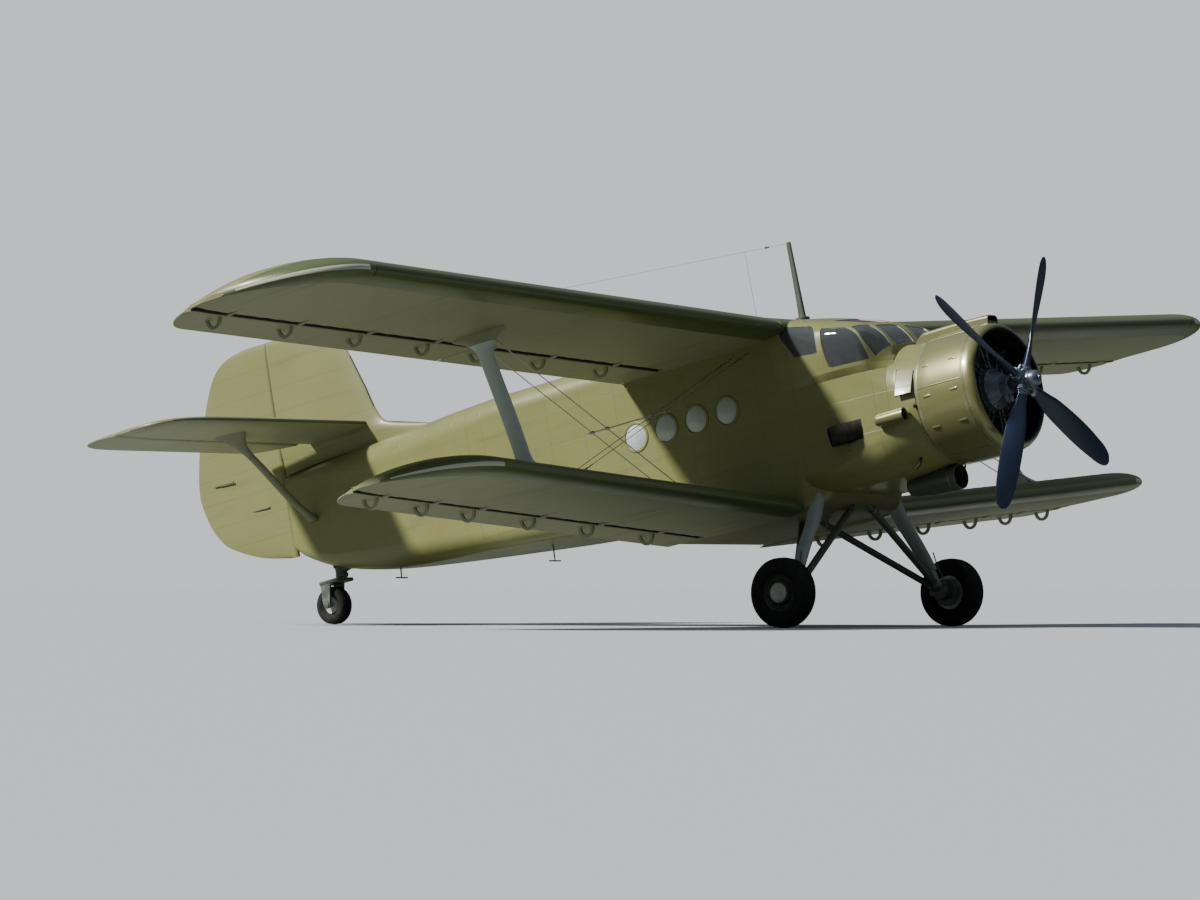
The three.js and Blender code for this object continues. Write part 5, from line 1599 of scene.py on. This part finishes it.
# %% Tail struts
TAIL_STRUT = (  # z, x centre, chord, thickness, y
    (0.66, -10.48, 0.19, 0.2, 0.12), (0.78, -10.47, 0.12, 0.12, 0.33),
    (1.37, -10.18, 0.105, 0.11, 1.5), (1.48, -10.135, 0.15, 0.125, 1.715),
    (1.56, -10.09, 0.29, 0.16, 1.87), (1.64, -10.06, 0.52, 0.22, 2.01),
)
dress_pair(strut_body(TAIL_STRUT, 0.02), "tail_strut_fairing", "tail_strut_paint",
           "tail_strut_side")

# %% [markdown]
# ## Main gear
# Each wheel hangs on a vee of tubes hinged at the keel and on a wide faired shock strut from the wing
# root. All three meet in a forged knuckle that carries the axle.

# %% Main gear legs
AXLE = Vector((-2.58, 1.69, -1.9))
HALF_TYRE = 0.13
KNUCKLE = AXLE - Vector((0, HALF_TYRE + 0.075, 0))
SHOCK = (  # z, x centre, chord, thickness, y
    (-1.64, -2.578, 0.165, 0.11, 1.33), (-1.38, -2.575, 0.188, 0.12, 1.15),
    (-0.96, -2.56, 0.205, 0.135, 0.83), (-0.7, -2.56, 0.23, 0.15, 0.72),
)
FORGING = (
    (-0.065, 0.0), (-0.065, 0.072), (-0.05, 0.09), (0.03, 0.086), (0.05, 0.078), (0.055, 0.052),
    (0.19, 0.034), (0.19, 0.0),
)
BRAKE = ((0.058, 0.0), (0.058, 0.15), (0.066, 0.158), (0.098, 0.158), (0.098, 0.0))
HOSE = (
    (0.075, 0.01, 0.0), (0.085, -0.02, 0.07), (0.075, -0.065, 0.2), (0.072, -0.115, 0.33),
    (0.085, -0.165, 0.46),
)
leg = [
    strut_body(SHOCK, 0.03),
    tube([(-2.578, 1.335, -1.6), (-2.579, 1.4, -1.75), (-2.58, 1.47, -1.9)], 0.042, 24),
    tube([(-2.578, 1.322, -1.615), (-2.578, 1.338, -1.65)], 0.058, 24),
]
dress_pair(leg, "shock_leg_fairing", "leg_paint", "gear_leg_side")
vee = [
    turned(FORGING, KNUCKLE, PORT, 40), turned(BRAKE, KNUCKLE, PORT, 56),
    tube([KNUCKLE + Vector(p) for p in HOSE], 0.008),
    block(KNUCKLE + Vector((-0.13, -0.075, -0.03)), KNUCKLE + Vector((0.1, -0.02, 0.05)), 0.012),
]
for foot, r in (((-3.24, 0.11, -0.88), 0.04), ((-2.48, 0.11, -0.86), 0.043)):
    foot = Vector(foot)
    spots = [foot.lerp(KNUCKLE, s) for s in (0, 0.06, 0.1, 0.5, 0.88, 0.94, 1.0)]
    vee.append(tube(spots, [r * k for k in (0.7, 0.8, 1, 1, 1, 0.85, 0.9)], 24))
    vee += [drum(foot.lerp(KNUCKLE, s), KNUCKLE - foot, r * 1.16, 0.04, 24) for s in (0.085, 0.905)]
dress_pair(vee, "vee_tubes_and_knuckle", "gear_paint")

# %% [markdown]
# ## Wheels
# The tyres are smooth with a few round grooves, on plain pressed hubs with a domed cap. Both are turned
# about the axle, so they look the same at any angle of the wheel, as real ones nearly do.

# %% Main wheels
TYRE_WALL = (  # share of the half width, share of the way from rim to crown
    (-1.0, 0.45), (-0.985, 0.62), (-0.92, 0.78), (-0.78, 0.9), (-0.58, 0.97),
)
GROOVE = both_ways([(-0.0055, 0), (-0.0035, 0.006)])
HUB_FACE = (
    (-0.07, 0.036), (-0.066, 0.196), (-0.08, 0.206), (-0.084, 0.212), (-0.078, 0.2145), (-0.06, 0.2035),
    (0.06, 0.2035), (0.08, 0.2145), (0.086, 0.212), (0.082, 0.203), (0.062, 0.19), (0.05, 0.16),
    (0.052, 0.15), (0.086, 0.134), (0.098, 0.112), (0.105, 0.08), (0.108, 0.045), (0.109, 0.0),
    (0.09, 0.0), (0.09, 0.036),
)
HUB_CAP = 0.122


def tyre(half, radius, rim, grooves, centre, sides):
    """Bead, bulged wall, shoulder and a crown with grooves cut into it."""
    wall = [(-half * 0.62, rim), (-half * 0.7, rim + 0.012), (-half * 0.93, rim + 0.045)]
    wall += [(half * a, rim + (radius - rim) * b) for a, b in TYRE_WALL]
    crown = []
    for y, deep in [(g * half + d, deep) for g in grooves for d, deep in GROOVE]:
        crown.append((y, radius - 0.012 * (y / (half * 0.58)) ** 2 - deep))
    return turned(wall + crown + [(-y, r) for y, r in reversed(wall)], centre, PORT, sides)


def from_axle(centre, axle):
    return hypot(centre.x - axle.x, centre.z - axle.z)


rubber = tyre(HALF_TYRE, 0.4, 0.205, (-0.42, -0.14, 0.14, 0.42), AXLE, 112)
dress_pair(rubber, "main_tyre_rubber", "tyre_rubber", "main_tyre_side", body="main_wheel_side",
           sharp=30)
hub = [
    turned(HUB_FACE, AXLE, PORT, 80),
    *stud_circle(AXLE + PORT * 0.053, PORT, 0.172, 10, 0.011, 0.013),
    *stud_circle(AXLE + PORT * 0.102, PORT, 0.094, 6, 0.006, 0.005, 8),
]
dress_pair(hub, "main_hub_disc", "hub_metal hub_dark", "main_hub_side", body="main_wheel_side",
           sharp=35, rule=lambda centre, normal: from_axle(centre, AXLE) >= HUB_CAP)

# %% [markdown]
# ## Tailwheel
# Under the stern sits a socket with a short shock strut, and below it the fork swivels freely. The fork
# is a bridge with two cheeks, each a plate with rounded ends.

# %% Tailwheel
TAIL_AXLE = Vector((-10.52, 0, -0.385))
SWIVEL = Vector((TAIL_AXLE.x + 0.2, 0, 0))
TAIL_HALF = 0.095
TAIL_HUB_OUT = 0.1045
CHEEK = TAIL_HALF + 0.032
FORK_TOP = TAIL_AXLE.z + 0.265
SOCKET = (
    (-0.07, 0.0), (-0.07, 0.075), (-0.055, 0.08), (-0.03, 0.08), (-0.02, 0.072), (0.05, 0.078),
    (0.06, 0.094), (0.085, 0.094), (0.1, 0.086), (0.26, 0.12), (0.26, 0.0),
)
TAIL_SHOCK = ((0.02, 0.02), (0.15, 0.05), (0.16, 0.052), (0.42, 0.15))
STEM = (
    (FORK_TOP - 0.01, 0.0), (FORK_TOP - 0.01, 0.062), (-0.085, 0.062), (-0.0703, 0.058), (-0.0703, 0.0),
)
CHEEK_OUTLINE = (
    (-0.045, -0.038), (0.045, -0.038), (0.058, 0.06), (0.11, 0.283), (-0.055, 0.283), (-0.058, 0.05),
)
TAIL_RIM = ((-0.05, 0.024), (-0.05, 0.08), (-0.056, 0.098), (-0.05, 0.104))

shock = [(SWIVEL.x + x, 0, z) for x, z in TAIL_SHOCK]
dress([turned(SOCKET, SWIVEL, ABOVE, 40), tube(shock, [0.05, 0.05, 0.06, 0.06], 24)], "tail_socket",
      "gear_paint", "tail_gear_socket")

fork = [
    turned(STEM, SWIVEL, ABOVE, 36),
    block((TAIL_AXLE.x - 0.07, -CHEEK - 0.02, FORK_TOP - 0.006),
          (SWIVEL.x + 0.055, CHEEK + 0.02, FORK_TOP + 0.04), 0.012),
]
for side in (1, -1):
    outline = [(TAIL_AXLE.x + x, TAIL_AXLE.z + z) for x, z in CHEEK_OUTLINE]
    fork.append(prism(rounded(outline, 0.022), "y", side * CHEEK - 0.014, side * CHEEK + 0.014))
    fork.append(stud((TAIL_AXLE.x, side * (CHEEK + 0.0132), TAIL_AXLE.z), PORT * side, 0.034, 0.018, 24))
dress(fork, "tail_fork_plates", "gear_paint", "tail_fork", body="tail_fork")

tail_wheel = [
    tyre(TAIL_HALF, 0.235, 0.1, (-0.35, 0.0, 0.35), TAIL_AXLE, 80),
    turned(both_ways(TAIL_RIM), TAIL_AXLE, PORT, 56),
    drum(TAIL_AXLE, PORT, 0.022, 0.217, 24),
]
dress(tail_wheel, "tail_wheel_set", "tyre_rubber hub_metal", "tail_wheel", body="tail_wheel",
      sharp=30, rule=lambda centre, normal: from_axle(centre, TAIL_AXLE) <= TAIL_HUB_OUT)

# %% [markdown]
# ## Scoop, oil cooler and intakes
# Around the nose sit the openings that feed the engine. Each is a hollow shell whose inside is painted
# near black as shade, so that it reads as a hole; inside the exhaust the black is soot as well. A painted
# black disc would be quicker, but it would look flat from the side.

# %% Nose fittings
SCOOP_AT = curves((  # x, half width, top, underside
    (-0.262, 0.105, 0.836, 0.7), (-0.42, 0.11, 0.842, 0.7), (-0.7, 0.112, 0.846, 0.7),
    (-1.15, 0.112, 0.842, 0.65), (-1.28, 0.095, 0.77, 0.65),
))
SCOOP_SOFT = 0.042
COOLER = ((-1.05, -0.865), (-1.1, -0.8635), (-1.4, -0.855), (-1.66, -0.847), (-1.74, -0.845))
COOLER_BORE = ((-1.02, -0.866), (-1.14, -0.862), (-1.2, -0.86))
GRILLE = Vector((-1.12, 0, -0.863))
GRILLE_PITCH, GRILLE_R = 0.024, 0.134
HEATER = (
    (-1.13, -0.8, -0.137), (-1.16, -0.8025, -0.137), (-1.46, -0.8275, -0.14), (-1.5, -0.83, -0.141),
)
HEATER_BORE = ((-1.1, -0.7975, -0.137), (-1.16, -0.8025, -0.137), (-1.3, -0.814, -0.137))
EXHAUST = (
    (-2.045, -1.02, -0.213), (-2.01, -0.99, -0.207), (-1.95, -0.94, -0.197), (-1.88, -0.87, -0.183),
    (-1.83, -0.79, -0.168), (-1.805, -0.7, -0.155),
)
EXHAUST_BORE = ((-2.08, -1.05, -0.219), (-2.000, -0.982, -0.205), (-1.93, -0.922, -0.193))


def scoop_ring(x, inset=0.0, low=None):
    half, top, under = SCOOP_AT(x)
    half, top = half - inset - SCOOP_SOFT, top - inset - SCOOP_SOFT
    ring = [(x, half + SCOOP_SOFT, under if low is None else low)]
    ring += [(x, half + cos(t) * SCOOP_SOFT, top + sin(t) * SCOOP_SOFT) for t in arc(0, 90, 8)]
    return mirrored(ring)


def hollow_tube(points, radii, wall, bore):
    """A tube whose mouth is bored out along its first stretch."""
    return carve(tube(points, radii, 40), tube(bore, [r - wall for r in radii[:len(bore)]], 40))


def scoop_rule(centre, normal):
    return -0.44 < centre.x < -0.275 and 0.765 < centre.z < 0.829 and abs(centre.y) < 0.0975


def bore_rule(back, front, y, z, radius):
    """Picks the faces inside a bore that runs fore and aft."""
    return lambda centre, normal: back < centre.x < front and hypot(centre.y - y, centre.z - z) < radius


mouth = loft([scoop_ring(x, 0.014, 0.768) for x in (-0.25, -0.34, -0.43)])
scoop = [carve(loft([scoop_ring(x) for x in spread(-0.262, -1.28, 0.04)]), mouth)]
scoop.append(tube(scoop_ring(-0.262, 0.006, 0.764), 0.007))
scoop += [tube([(-0.3, y, 0.766), (-0.3, y, 0.829)], 0.0025, 6) for y in (-0.06, -0.03, 0, 0.03, 0.06)]
dress(scoop, "air_scoop_shell", "cowl_paint dark_inside", "air_scoop", rule=scoop_rule)

cooler = [hollow_tube([(x, 0, z) for x, z in COOLER], [0.146, 0.15, 0.146, 0.126, 0.104], 0.012,
                      [(x, 0, z) for x, z in COOLER_BORE])]
for aside in [GRILLE_PITCH * k for k in range(-5, 6)]:
    reach = sqrt(GRILLE_R**2 - aside**2)
    for way, across in ((PORT, ABOVE), (ABOVE, PORT)):
        middle = GRILLE + across * aside
        cooler.append(tube([middle - way * reach, middle + way * reach], 0.0035, 6))
for x, z, r in ((-1.14, -0.862, 0.153), (-1.45, -0.8535, 0.1475)):
    cooler.append(turned([(-0.012, 0.1), (-0.012, r), (0.012, r), (0.012, 0.1)], (x, 0, z), sides=48))
dress(cooler, "oil_cooler_shell", "gear_paint dark_inside", "oil_cooler",
      rule=bore_rule(-1.21, -1.06, 0, -0.862, 0.137))

heater = hollow_tube(HEATER, [0.077, 0.078, 0.073, 0.06], 0.007, HEATER_BORE)
heater = [heater, block((-1.4, -0.8, -0.17), (-1.18, -0.7, -0.105), 0.014)]
dress(heater, "heater_intake_pipe", "cowl_paint dark_inside", "heater_intake",
      rule=bore_rule(-1.31, -1.135, -0.808, -0.137, 0.0697))

exhaust = hollow_tube(EXHAUST, [0.113, 0.115, 0.118, 0.119, 0.12, 0.12], 0.008, EXHAUST_BORE)
collar = tube([(-1.905, -0.897, -0.188), (-1.885, -0.877, -0.184)], 0.127, 40)
dress([exhaust, collar], "exhaust", "burnt_pipe dark_inside", "exhaust_pipe",
      rule=lambda c, n: n.y > 0.1 and n.x > 0.1 and c.y < -0.9 and c.x < -1.92)

# %% [markdown]
# The side of the nose carries small hatches, a raised gill over the accessories, and drain pipes. They
# follow the body's own curve, by asking it for a point at each angle.

# %% Gills, hatches and drains
DRAIN = ((0, 0), (0, 0.02), (0.055, 0.018), (0.062, 0.012), (0.062, 0))


def body_edge(x, angle, rise):
    """A point at a height over the body's skin, in a direction from the middle of its section."""
    ring = [Vector(p) for p in body_ring(x, 0.0, 16)]
    heart = Vector((x, 0, 0))
    way = Vector((0, cos(radians(angle)), sin(radians(angle))))
    side = Vector((0, -way.z, way.y))
    for a, b in zip(ring, ring[1:] + ring[:1]):
        da, db = (a - heart).dot(side), (b - heart).dot(side)
        if da * db <= 0 and da != db and (a - heart).dot(way) > 0 and (b - heart).dot(way) > 0:
            return heart + way * ((a.lerp(b, da / (da - db)) - heart).length + rise)


def curved_sheet(x0, x1, angle0, angle1, rise, thick=0.006):
    """A sheet wrapped on the body; rise(v) is its height over the skin at a share of its way round."""
    spots = [(angle, rise(v)) for angle, v in zip(even(angle0, angle1, 12), even(0, 1, 12))]
    rings = []
    for x in even(x0, x1, 8):
        outer = [body_edge(x, angle, high) for angle, high in spots]
        inner = [body_edge(x, angle, high - thick) for angle, high in spots]
        rings.append(outer + inner[::-1])
    return loft(rings)


def hatch_rule(centre, normal):
    """0 the strips behind the gills, 1 the scorched sheet by the exhaust, near black as soot and painted
    shade, 2 gills and hatches.
    """
    if centre.x < -1.6:
        return 1
    return 0 if centre.x < -1.23 and centre.z > 0 else 2


fittings = [curved_sheet(-1.72, -2.00, 184, 199, lambda v: 0.004)]
for start, end in ((150, 173), (30, 7)):
    fittings.append(curved_sheet(-1.03, -1.225, start, end, lambda v: 0.01 + 0.05 * v * v))
    fittings.append(curved_sheet(-1.235, -1.26, start - 2, end, lambda v: 0.007))
for start, end in ((207, 228), (-27, -48)):
    fittings.append(curved_sheet(-1.05, -1.28, start, end, lambda v: 0.003))
dress(fittings, "nose_hatches", "cowl_paint burnt_pipe olive_metal", rule=hatch_rule)

drains = [
    turned(DRAIN, (-1.03, -0.715, -0.07), (0.6, -1, 0), 20),
    tube([(-1.87, -0.74, -0.33), (-1.875, -0.8, -0.335), (-1.9, -0.83, -0.36), (-1.93, -0.84, -0.39)],
         0.016, 14),
    tube([(-1.22, -0.48, -0.62), (-1.25, -0.5, -0.7), (-1.3, -0.51, -0.73)], 0.014, 14),
    tube([(-1.22, 0.4, -0.66), (-1.26, 0.41, -0.75), (-1.31, 0.415, -0.78)], 0.012, 14),
]
dress(drains, "drains", "burnt_pipe")

# %% [markdown]
# ## Mast, aerials and small fittings
# A steel mast stands on the roof and holds the aerial wire that runs back to the fin. It is taut, so it
# is a plain thin rod. Two T-shaped aerials hang under the body.

# %% Mast, aerials, bump, fillet and tab rods
MAST = (  # z, x centre, chord, thickness, y
    (1.33, -2.842, 0.15, 0.11, 0.0), (1.44, -2.842, 0.1, 0.06, 0.0), (2.335, -2.856, 0.062, 0.034, 0.0),
)
AERIAL_R = 0.0022
MAST_FOOT = ((-0.02, 0.0), (-0.02, 0.085), (0.006, 0.085), (0.012, 0.06), (0.022, 0.045), (0.022, 0))
BEAD = (
    (-0.035, 0), (-0.03, 0.01), (-0.018, 0.013), (-0.01, 0.009), (0.0, 0.014), (0.01, 0.009),
    (0.018, 0.013), (0.03, 0.01), (0.035, 0),
)
dress([strut_body(MAST, 0.04), turned(MAST_FOOT, (-2.842, 0, 1.418), ABOVE)], "aerial_mast",
      "gear_paint", "antenna_mast")

mast_top = Vector((-2.872, 0, 2.326))
fin_top = Vector((-9.83, 0, 2.9))
way = (fin_top - mast_top).normalized()
aerials = [
    tube([mast_top, mast_top.lerp(fin_top, 0.5), fin_top], AERIAL_R, 8),
    tube([mast_top + way * 0.62, (-3.52, 0.05, 1.72), (-3.5, 0.06, 1.45)], AERIAL_R, 8),
    *[turned(BEAD, spot, way, 16) for spot in (mast_top + way * 0.3, fin_top - way * 0.35)],
]
for x, foot, tip in ((-9.38, -0.15, -0.275), (-7.00, -0.38, -0.575)):
    aerials.append(tube([(x, 0, foot), (x - 0.01, 0, tip)], [0.014, 0.01], 12, 0.5))
    aerials.append(tube([(x - 0.01, -0.11, tip), (x - 0.01, 0.11, tip)], 0.009, 12))
dress(aerials, "aerials", "gear_paint")

bump = []
for k in range(9):
    s = sin(pi * (k + 0.35) / 9.7)
    x = -8.16 - 0.0375 * k
    bump.append([(x, cos(t) * 0.055 * s, 1.405 + max(0, sin(t)) * 0.085 * s) for t in turns(20)])
dress(loft(bump), "tail_bump", "dark_green")

fillet = []
for u in even(0, 1, 12):
    x = -8.02 - 2.85 * u
    foot = body_at(x)[1] - 0.012
    high = 0.05 + 0.1 * sin(pi * min(1, u * 1.1) / 2)
    wide = 0.035 + 0.095 * sin(pi * min(1, u * 1.4) / 2)
    fillet.append(mirrored([(x, wide * (1 - v) ** 2.2, foot + high * v**2.2) for v in even(0, 1, 8)]))
dress(loft(fillet), "fin_fillet", "olive_metal")

rods = []
for z, x in ((1.46, -11.98), (1.02, -11.46)):
    for side in (1, -1):
        rod = [(x + 0.2, side * 0.052, z), (x, side * 0.04, z), (x - 0.14, side * 0.022, z)]
        rods.append(tube(rod, [0.011, 0.008, 0.006]))
dress(rods, "rudder_tab_rods", "gear_paint", body="rudder")
rods = [tube([(-10.6, y, 1.762), (-10.74, y, 1.775), (-10.92, y, 1.748)], [0.01, 0.008, 0.006])
        for y in (1.15, 1.75)]
dress_pair(rods, "elevator_tab_rod_pair", "gear_paint", body="elevator_side")

# %% [markdown]
# ## Doors
# On the port side a wide cargo door lifts about its top edge, with a smaller entry door in it. The
# panels are flat where the body is flat. Pressed ribs stiffen them, and pulls, hinges and a rubber
# edge show how they open.

# %% Cargo door and entry door
DOOR_GAP = 0.008
DOOR_IN, DOOR_OUT = 0.827, 0.884
SEAL = 0.012
HINGE_Y = 0.9
cargo_back, cargo_front, _, hinge_z = CARGO
entry_back, entry_front, entry_low, entry_top = ENTRY


def door_blank(left, right, low, high):
    outline = flat_box(left + DOOR_GAP, right - DOOR_GAP, low + DOOR_GAP, high - DOOR_GAP, 0.045)
    return prism(outline, "y", DOOR_IN, DOOR_OUT)


def pressed_rib(start, end, z):
    """A low rounded rib standing on a flat panel."""
    spots = [(x, DOOR_OUT, z) for x in (start, start + 0.03, end - 0.03, end)]
    return tube(spots, [0.003, 0.011, 0.011, 0.003], 12)


def hinge_part(start, end, low, high):
    """One knuckle on the hinge line with its leaf."""
    pin = tube([(start, HINGE_Y, hinge_z), (end, HINGE_Y, hinge_z)], 0.0138, 20)
    return [pin, block((start, 0.882, hinge_z + low), (end, 0.892, hinge_z + high), 0.002)]


def door_rule(centre, normal):
    return normal.y < -0.5


seal = flat_box(entry_back - SEAL, entry_front + SEAL, entry_low - SEAL, entry_top + SEAL, 0.06)
pull = ((-0.004, 0.16), (0.03, 0.17), (0.03, 0.31), (-0.004, 0.32))
cargo = [
    carve(door_blank(*CARGO), doorway(ENTRY)),
    *[pressed_rib(cargo_back + 0.08, entry_back - 0.07, z) for z in (0.1, 0.4, 0.7, 0.98)],
    pressed_rib(entry_back + 0.1, entry_front - 0.1, 1.065),
    tube([(x, DOOR_OUT - 0.002, z) for x, z in [*seal, seal[0]]], 0.006, 8),
    tube([(entry_back - 0.2, DOOR_OUT + out, z) for out, z in pull], 0.009, 12),
]
gutter = [(x, 0.888, hinge_z + 0.075) for x in (cargo_back - 0.03, cargo_front + 0.03)]
leaves = [tube(gutter, 0.01, 12)]
for x in (-6.42, -5.5):
    cargo += hinge_part(x - 0.06, x + 0.06, -0.075, -0.002)
    leaves += hinge_part(x - 0.1, x - 0.0605, 0.002, 0.07)
    leaves += hinge_part(x + 0.0605, x + 0.1, 0.002, 0.07)
dress(cargo, "cargo_door_panel", "olive_metal cabin_lining", "cargo_door", body="cargo_door",
      rule=door_rule)
dress(leaves, "door_hinge_leaves", "olive_metal")

mid = (entry_back + entry_front) / 2
handle = ((0.09, -0.004, 0.3), (0.09, 0.026, 0.3), (0.1, 0.03, 0.295), (0.22, 0.03, 0.285))
entry = [
    carve(door_blank(*ENTRY), window_cut(mid, 1)),
    *[pressed_rib(entry_back + 0.1, entry_front - 0.1, z) for z in (-0.05, 0.12, 0.8)],
    *window_ring(mid, 1),
    tube([(entry_back + x, DOOR_OUT + out, z) for x, out, z in handle], [0.013, 0.013, 0.01, 0.007], 12),
]
dress(entry, "entry_door_panel", "olive_metal cabin_lining", "entry_door", body="entry_door",
      rule=door_rule)
dress(window_pane(mid, 1), "entry_window_pane", "cabin_glass", "entry_door_glass",
      body="entry_door")

# %% [markdown]
# ## Inside the cockpit and cabin
# Through the glass one sees two seats, the control wheels and the instrument board. Seats have
# cushions with a crown and drawn-in sides. At this size a formula gives that form as well as a cloth
# simulation would, and the result is the same on every run.

# %% Seats
SEAT_Y = 0.42
FLOOR_TOP = -0.268
SUNK = FLOOR_TOP - 0.0015


def cushion(low, high, crown, pull_in=0.012):
    """A crowned closed pad: full in the middle, its sides drawn in between the corners."""
    low, high = Vector(low), Vector(high)
    centre, half = (low + high) / 2, (high - low) / 2
    thin = min(range(3), key=lambda i: half[i])
    wide, tall = [i for i in range(3) if i != thin]
    bm = bmesh.new()
    bmesh.ops.create_cube(bm, size=2)
    bmesh.ops.subdivide_edges(bm, edges=bm.edges[:], cuts=14, use_grid_fill=True)
    for vert in bm.verts:
        u = vert.co.copy()
        for i in range(3):
            limit = 1 - 0.12 * max(abs(u[j]) for j in range(3) if j != i) ** 6
            u[i] = max(-limit, min(limit, u[i]))
        spot = Vector([c + a * h for c, a, h in zip(centre, u, half)])
        if abs(u[thin]) > 0.5:
            spot[thin] += copysign(crown * (1 - u[wide] ** 2) * (1 - u[tall] ** 2), u[thin])
        for i, other in ((wide, tall), (tall, wide)):
            if abs(u[i]) > 0.8:
                spot[i] -= copysign(pull_in * (1 - u[other] ** 2), u[i])
        if abs(u[thin]) > 0.8:
            channel = abs(sin(pi * (u[wide] + 1) * 2))
            spot[thin] -= copysign(0.004 * (1 - min(1, channel * 4)), u[thin])
        vert.co = spot
    return from_bmesh(bm)


seat_parts = []
for y, side in ((SEAT_Y, "left"), (-SEAT_Y, "right")):
    base = cushion((-2.66, y - 0.205, 0.075), (-2.25, y + 0.205, 0.15), 0.018)
    back = cushion((-2.725, y - 0.195, 0.18), (-2.645, y + 0.195, 0.745), 0.016)
    pads = dress([base, back], "seat_cushions_" + side, "seat_leather", "cockpit_seats", sharp=60)
    seat_parts += [
        block((-2.7, y - 0.22, 0.045), (-2.25, y + 0.22, 0.075), 0.008),
        block((-2.758, y - 0.21, 0.1), (-2.73, y + 0.21, 0.755), 0.008),
        block((-2.56, y - 0.06, SUNK), (-2.38, y + 0.06, -0.25), 0.004),
    ]
    for s in (1, -1):
        for x in (-2.54, -2.4):
            seat_parts.append(tube([(x, y + s * 0.05, 0.05), (x, y + s * 0.055, FLOOR_TOP)], 0.016, 14))
        arm = ((-2.73, 0.205, 0.33), (-2.6, 0.215, 0.335), (-2.4, 0.215, 0.325))
        seat_parts.append(tube([(x, y + s * out, z) for x, out, z in arm], 0.012, 12))
dress(seat_parts, "seat_frames", "floor_metal")

# %% [markdown]
# The instrument board is a dark sheet with round dials in rows. The dials are generic: a rim, a pale
# ring of marks and a needle. Two control wheels stand on columns in front of the seats.

# %% Instrument board and control wheels
BOARD_X = -1.54
MARK = Vector((0.001, 0.003, 0.003))
DIAL_ROWS = (  # z, radius, places left out
    (0.5, 0.048, ()), (0.375, 0.048, ()), (0.25, 0.038, (3, 4, 5)),
)
BOARD = ((-0.6, 0.15), (0.6, 0.15), (0.6, 0.5), (0.5, 0.625), (-0.5, 0.625), (-0.6, 0.5))
board = [
    prism(rounded(BOARD, 0.04), "x", BOARD_X, BOARD_X + 0.012),
    block((-1.53, -0.06, SUNK), (-1.49, 0.06, 0.16), 0.008),
]
hood = []
for x, low in ((-1.585, 0.615), (-1.4, 0.618)):
    corners = ((-0.58, low), (0.58, low), (0.54, 0.64), (-0.54, 0.64))
    hood.append([(x, y, z) for y, z in rounded(corners, 0.012)])
board.append(loft(hood))
marks = []
for z, r, gap in DIAL_ROWS:
    rim = [(0, r * 0.8), (0, r), (-0.012, r), (-0.014, r * 0.9), (-0.01, r * 0.8)]
    for y in [-0.48 + 0.12 * k for k in range(9) if k not in gap]:
        middle = Vector((BOARD_X, y, z))
        board.append(turned(rim, middle, sides=24))
        for t in turns(12):
            spot = middle + spoke_point(t, r * 0.66, -0.002)
            marks.append(block(spot - MARK, spot + MARK))
        needle = [spoke_point(t, out, -0.004) for t, out in ((0, 0), (random.uniform(0.3, 2.8), r * 0.6))]
        marks.append(tube([middle + p for p in needle], [0.003, 0.001], 6))
dress(board, "instrument_board", "panel_black", "instrument_panel")
dress(marks, "dial_marks", "dial_white")

controls = []
for y in (SEAT_Y, -SEAT_Y):
    middle = Vector((-1.93, y, 0.42))
    rim = [middle + spoke_point(t, 0.17, 0.02 * cos(2 * t)) for t in arc(-50, 230, 32)]
    controls.append(tube(rim, 0.013, 12))
    controls += [tube([middle, middle + spoke_point(t, 0.165, 0)], 0.01) for t in arc(-50, 230, 2)]
    controls.append(tube([middle, (-1.8, y, 0.4), (-1.72, y, 0.2), (-1.7, y, FLOOR_TOP)], 0.022, 14))
dress(controls, "control_wheels", "panel_black")

for place in frame["nodes"]["cabin_floor"].material_slots:
    place.material = bpy.data.materials["floor_metal"]

# %% [markdown]
# Folding seats line the cabin walls, and formers ring the shell. They show through the round windows
# as dim shapes, enough that the cabin isn't an empty tube.

# %% Cabin formers and folding seats
formers = []
half_thick = Vector((0.012, 0, 0))
for x in (-3.73, -4.18, -4.63, -5.1, -6.8, -7.05):
    pairs = zip(body_ring(x, WALL - 0.002, 6), body_ring(x, WALL + 0.03, 6))
    pairs = [(Vector(o), Vector(i)) for o, i in pairs if o[2] > -0.25 and i[2] < (1.05 if x > -4.95 else 2)]
    for side in (1, -1):
        run = [pair for pair in pairs if pair[0].y * side > 0.3]
        run.sort(key=lambda pair: atan2(pair[0].z - 0.5, pair[0].y * side))
        if len(run) > 1:
            formers.append(loft([[o + half_thick, i + half_thick, i - half_thick, o - half_thick]
                                 for o, i in run]))
dress(formers, "cabin_formers", "cabin_lining")

benches = []
for x in (-3.55, -4.00, -4.45, -4.9):
    benches.append(block((x - 0.19, -0.78, 0.1), (x + 0.19, -0.42, 0.125), 0.008))
    benches += [tube([(x + s, -0.44, 0.105), (x + s, -0.45, FLOOR_TOP)], 0.01) for s in (-0.14, 0.14)]
dress(benches, "folding_seats", "floor_metal")

# %% Sizes and finish
low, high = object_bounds()
print("visual box:", [round(v, 3) for v in (*low, *high)])
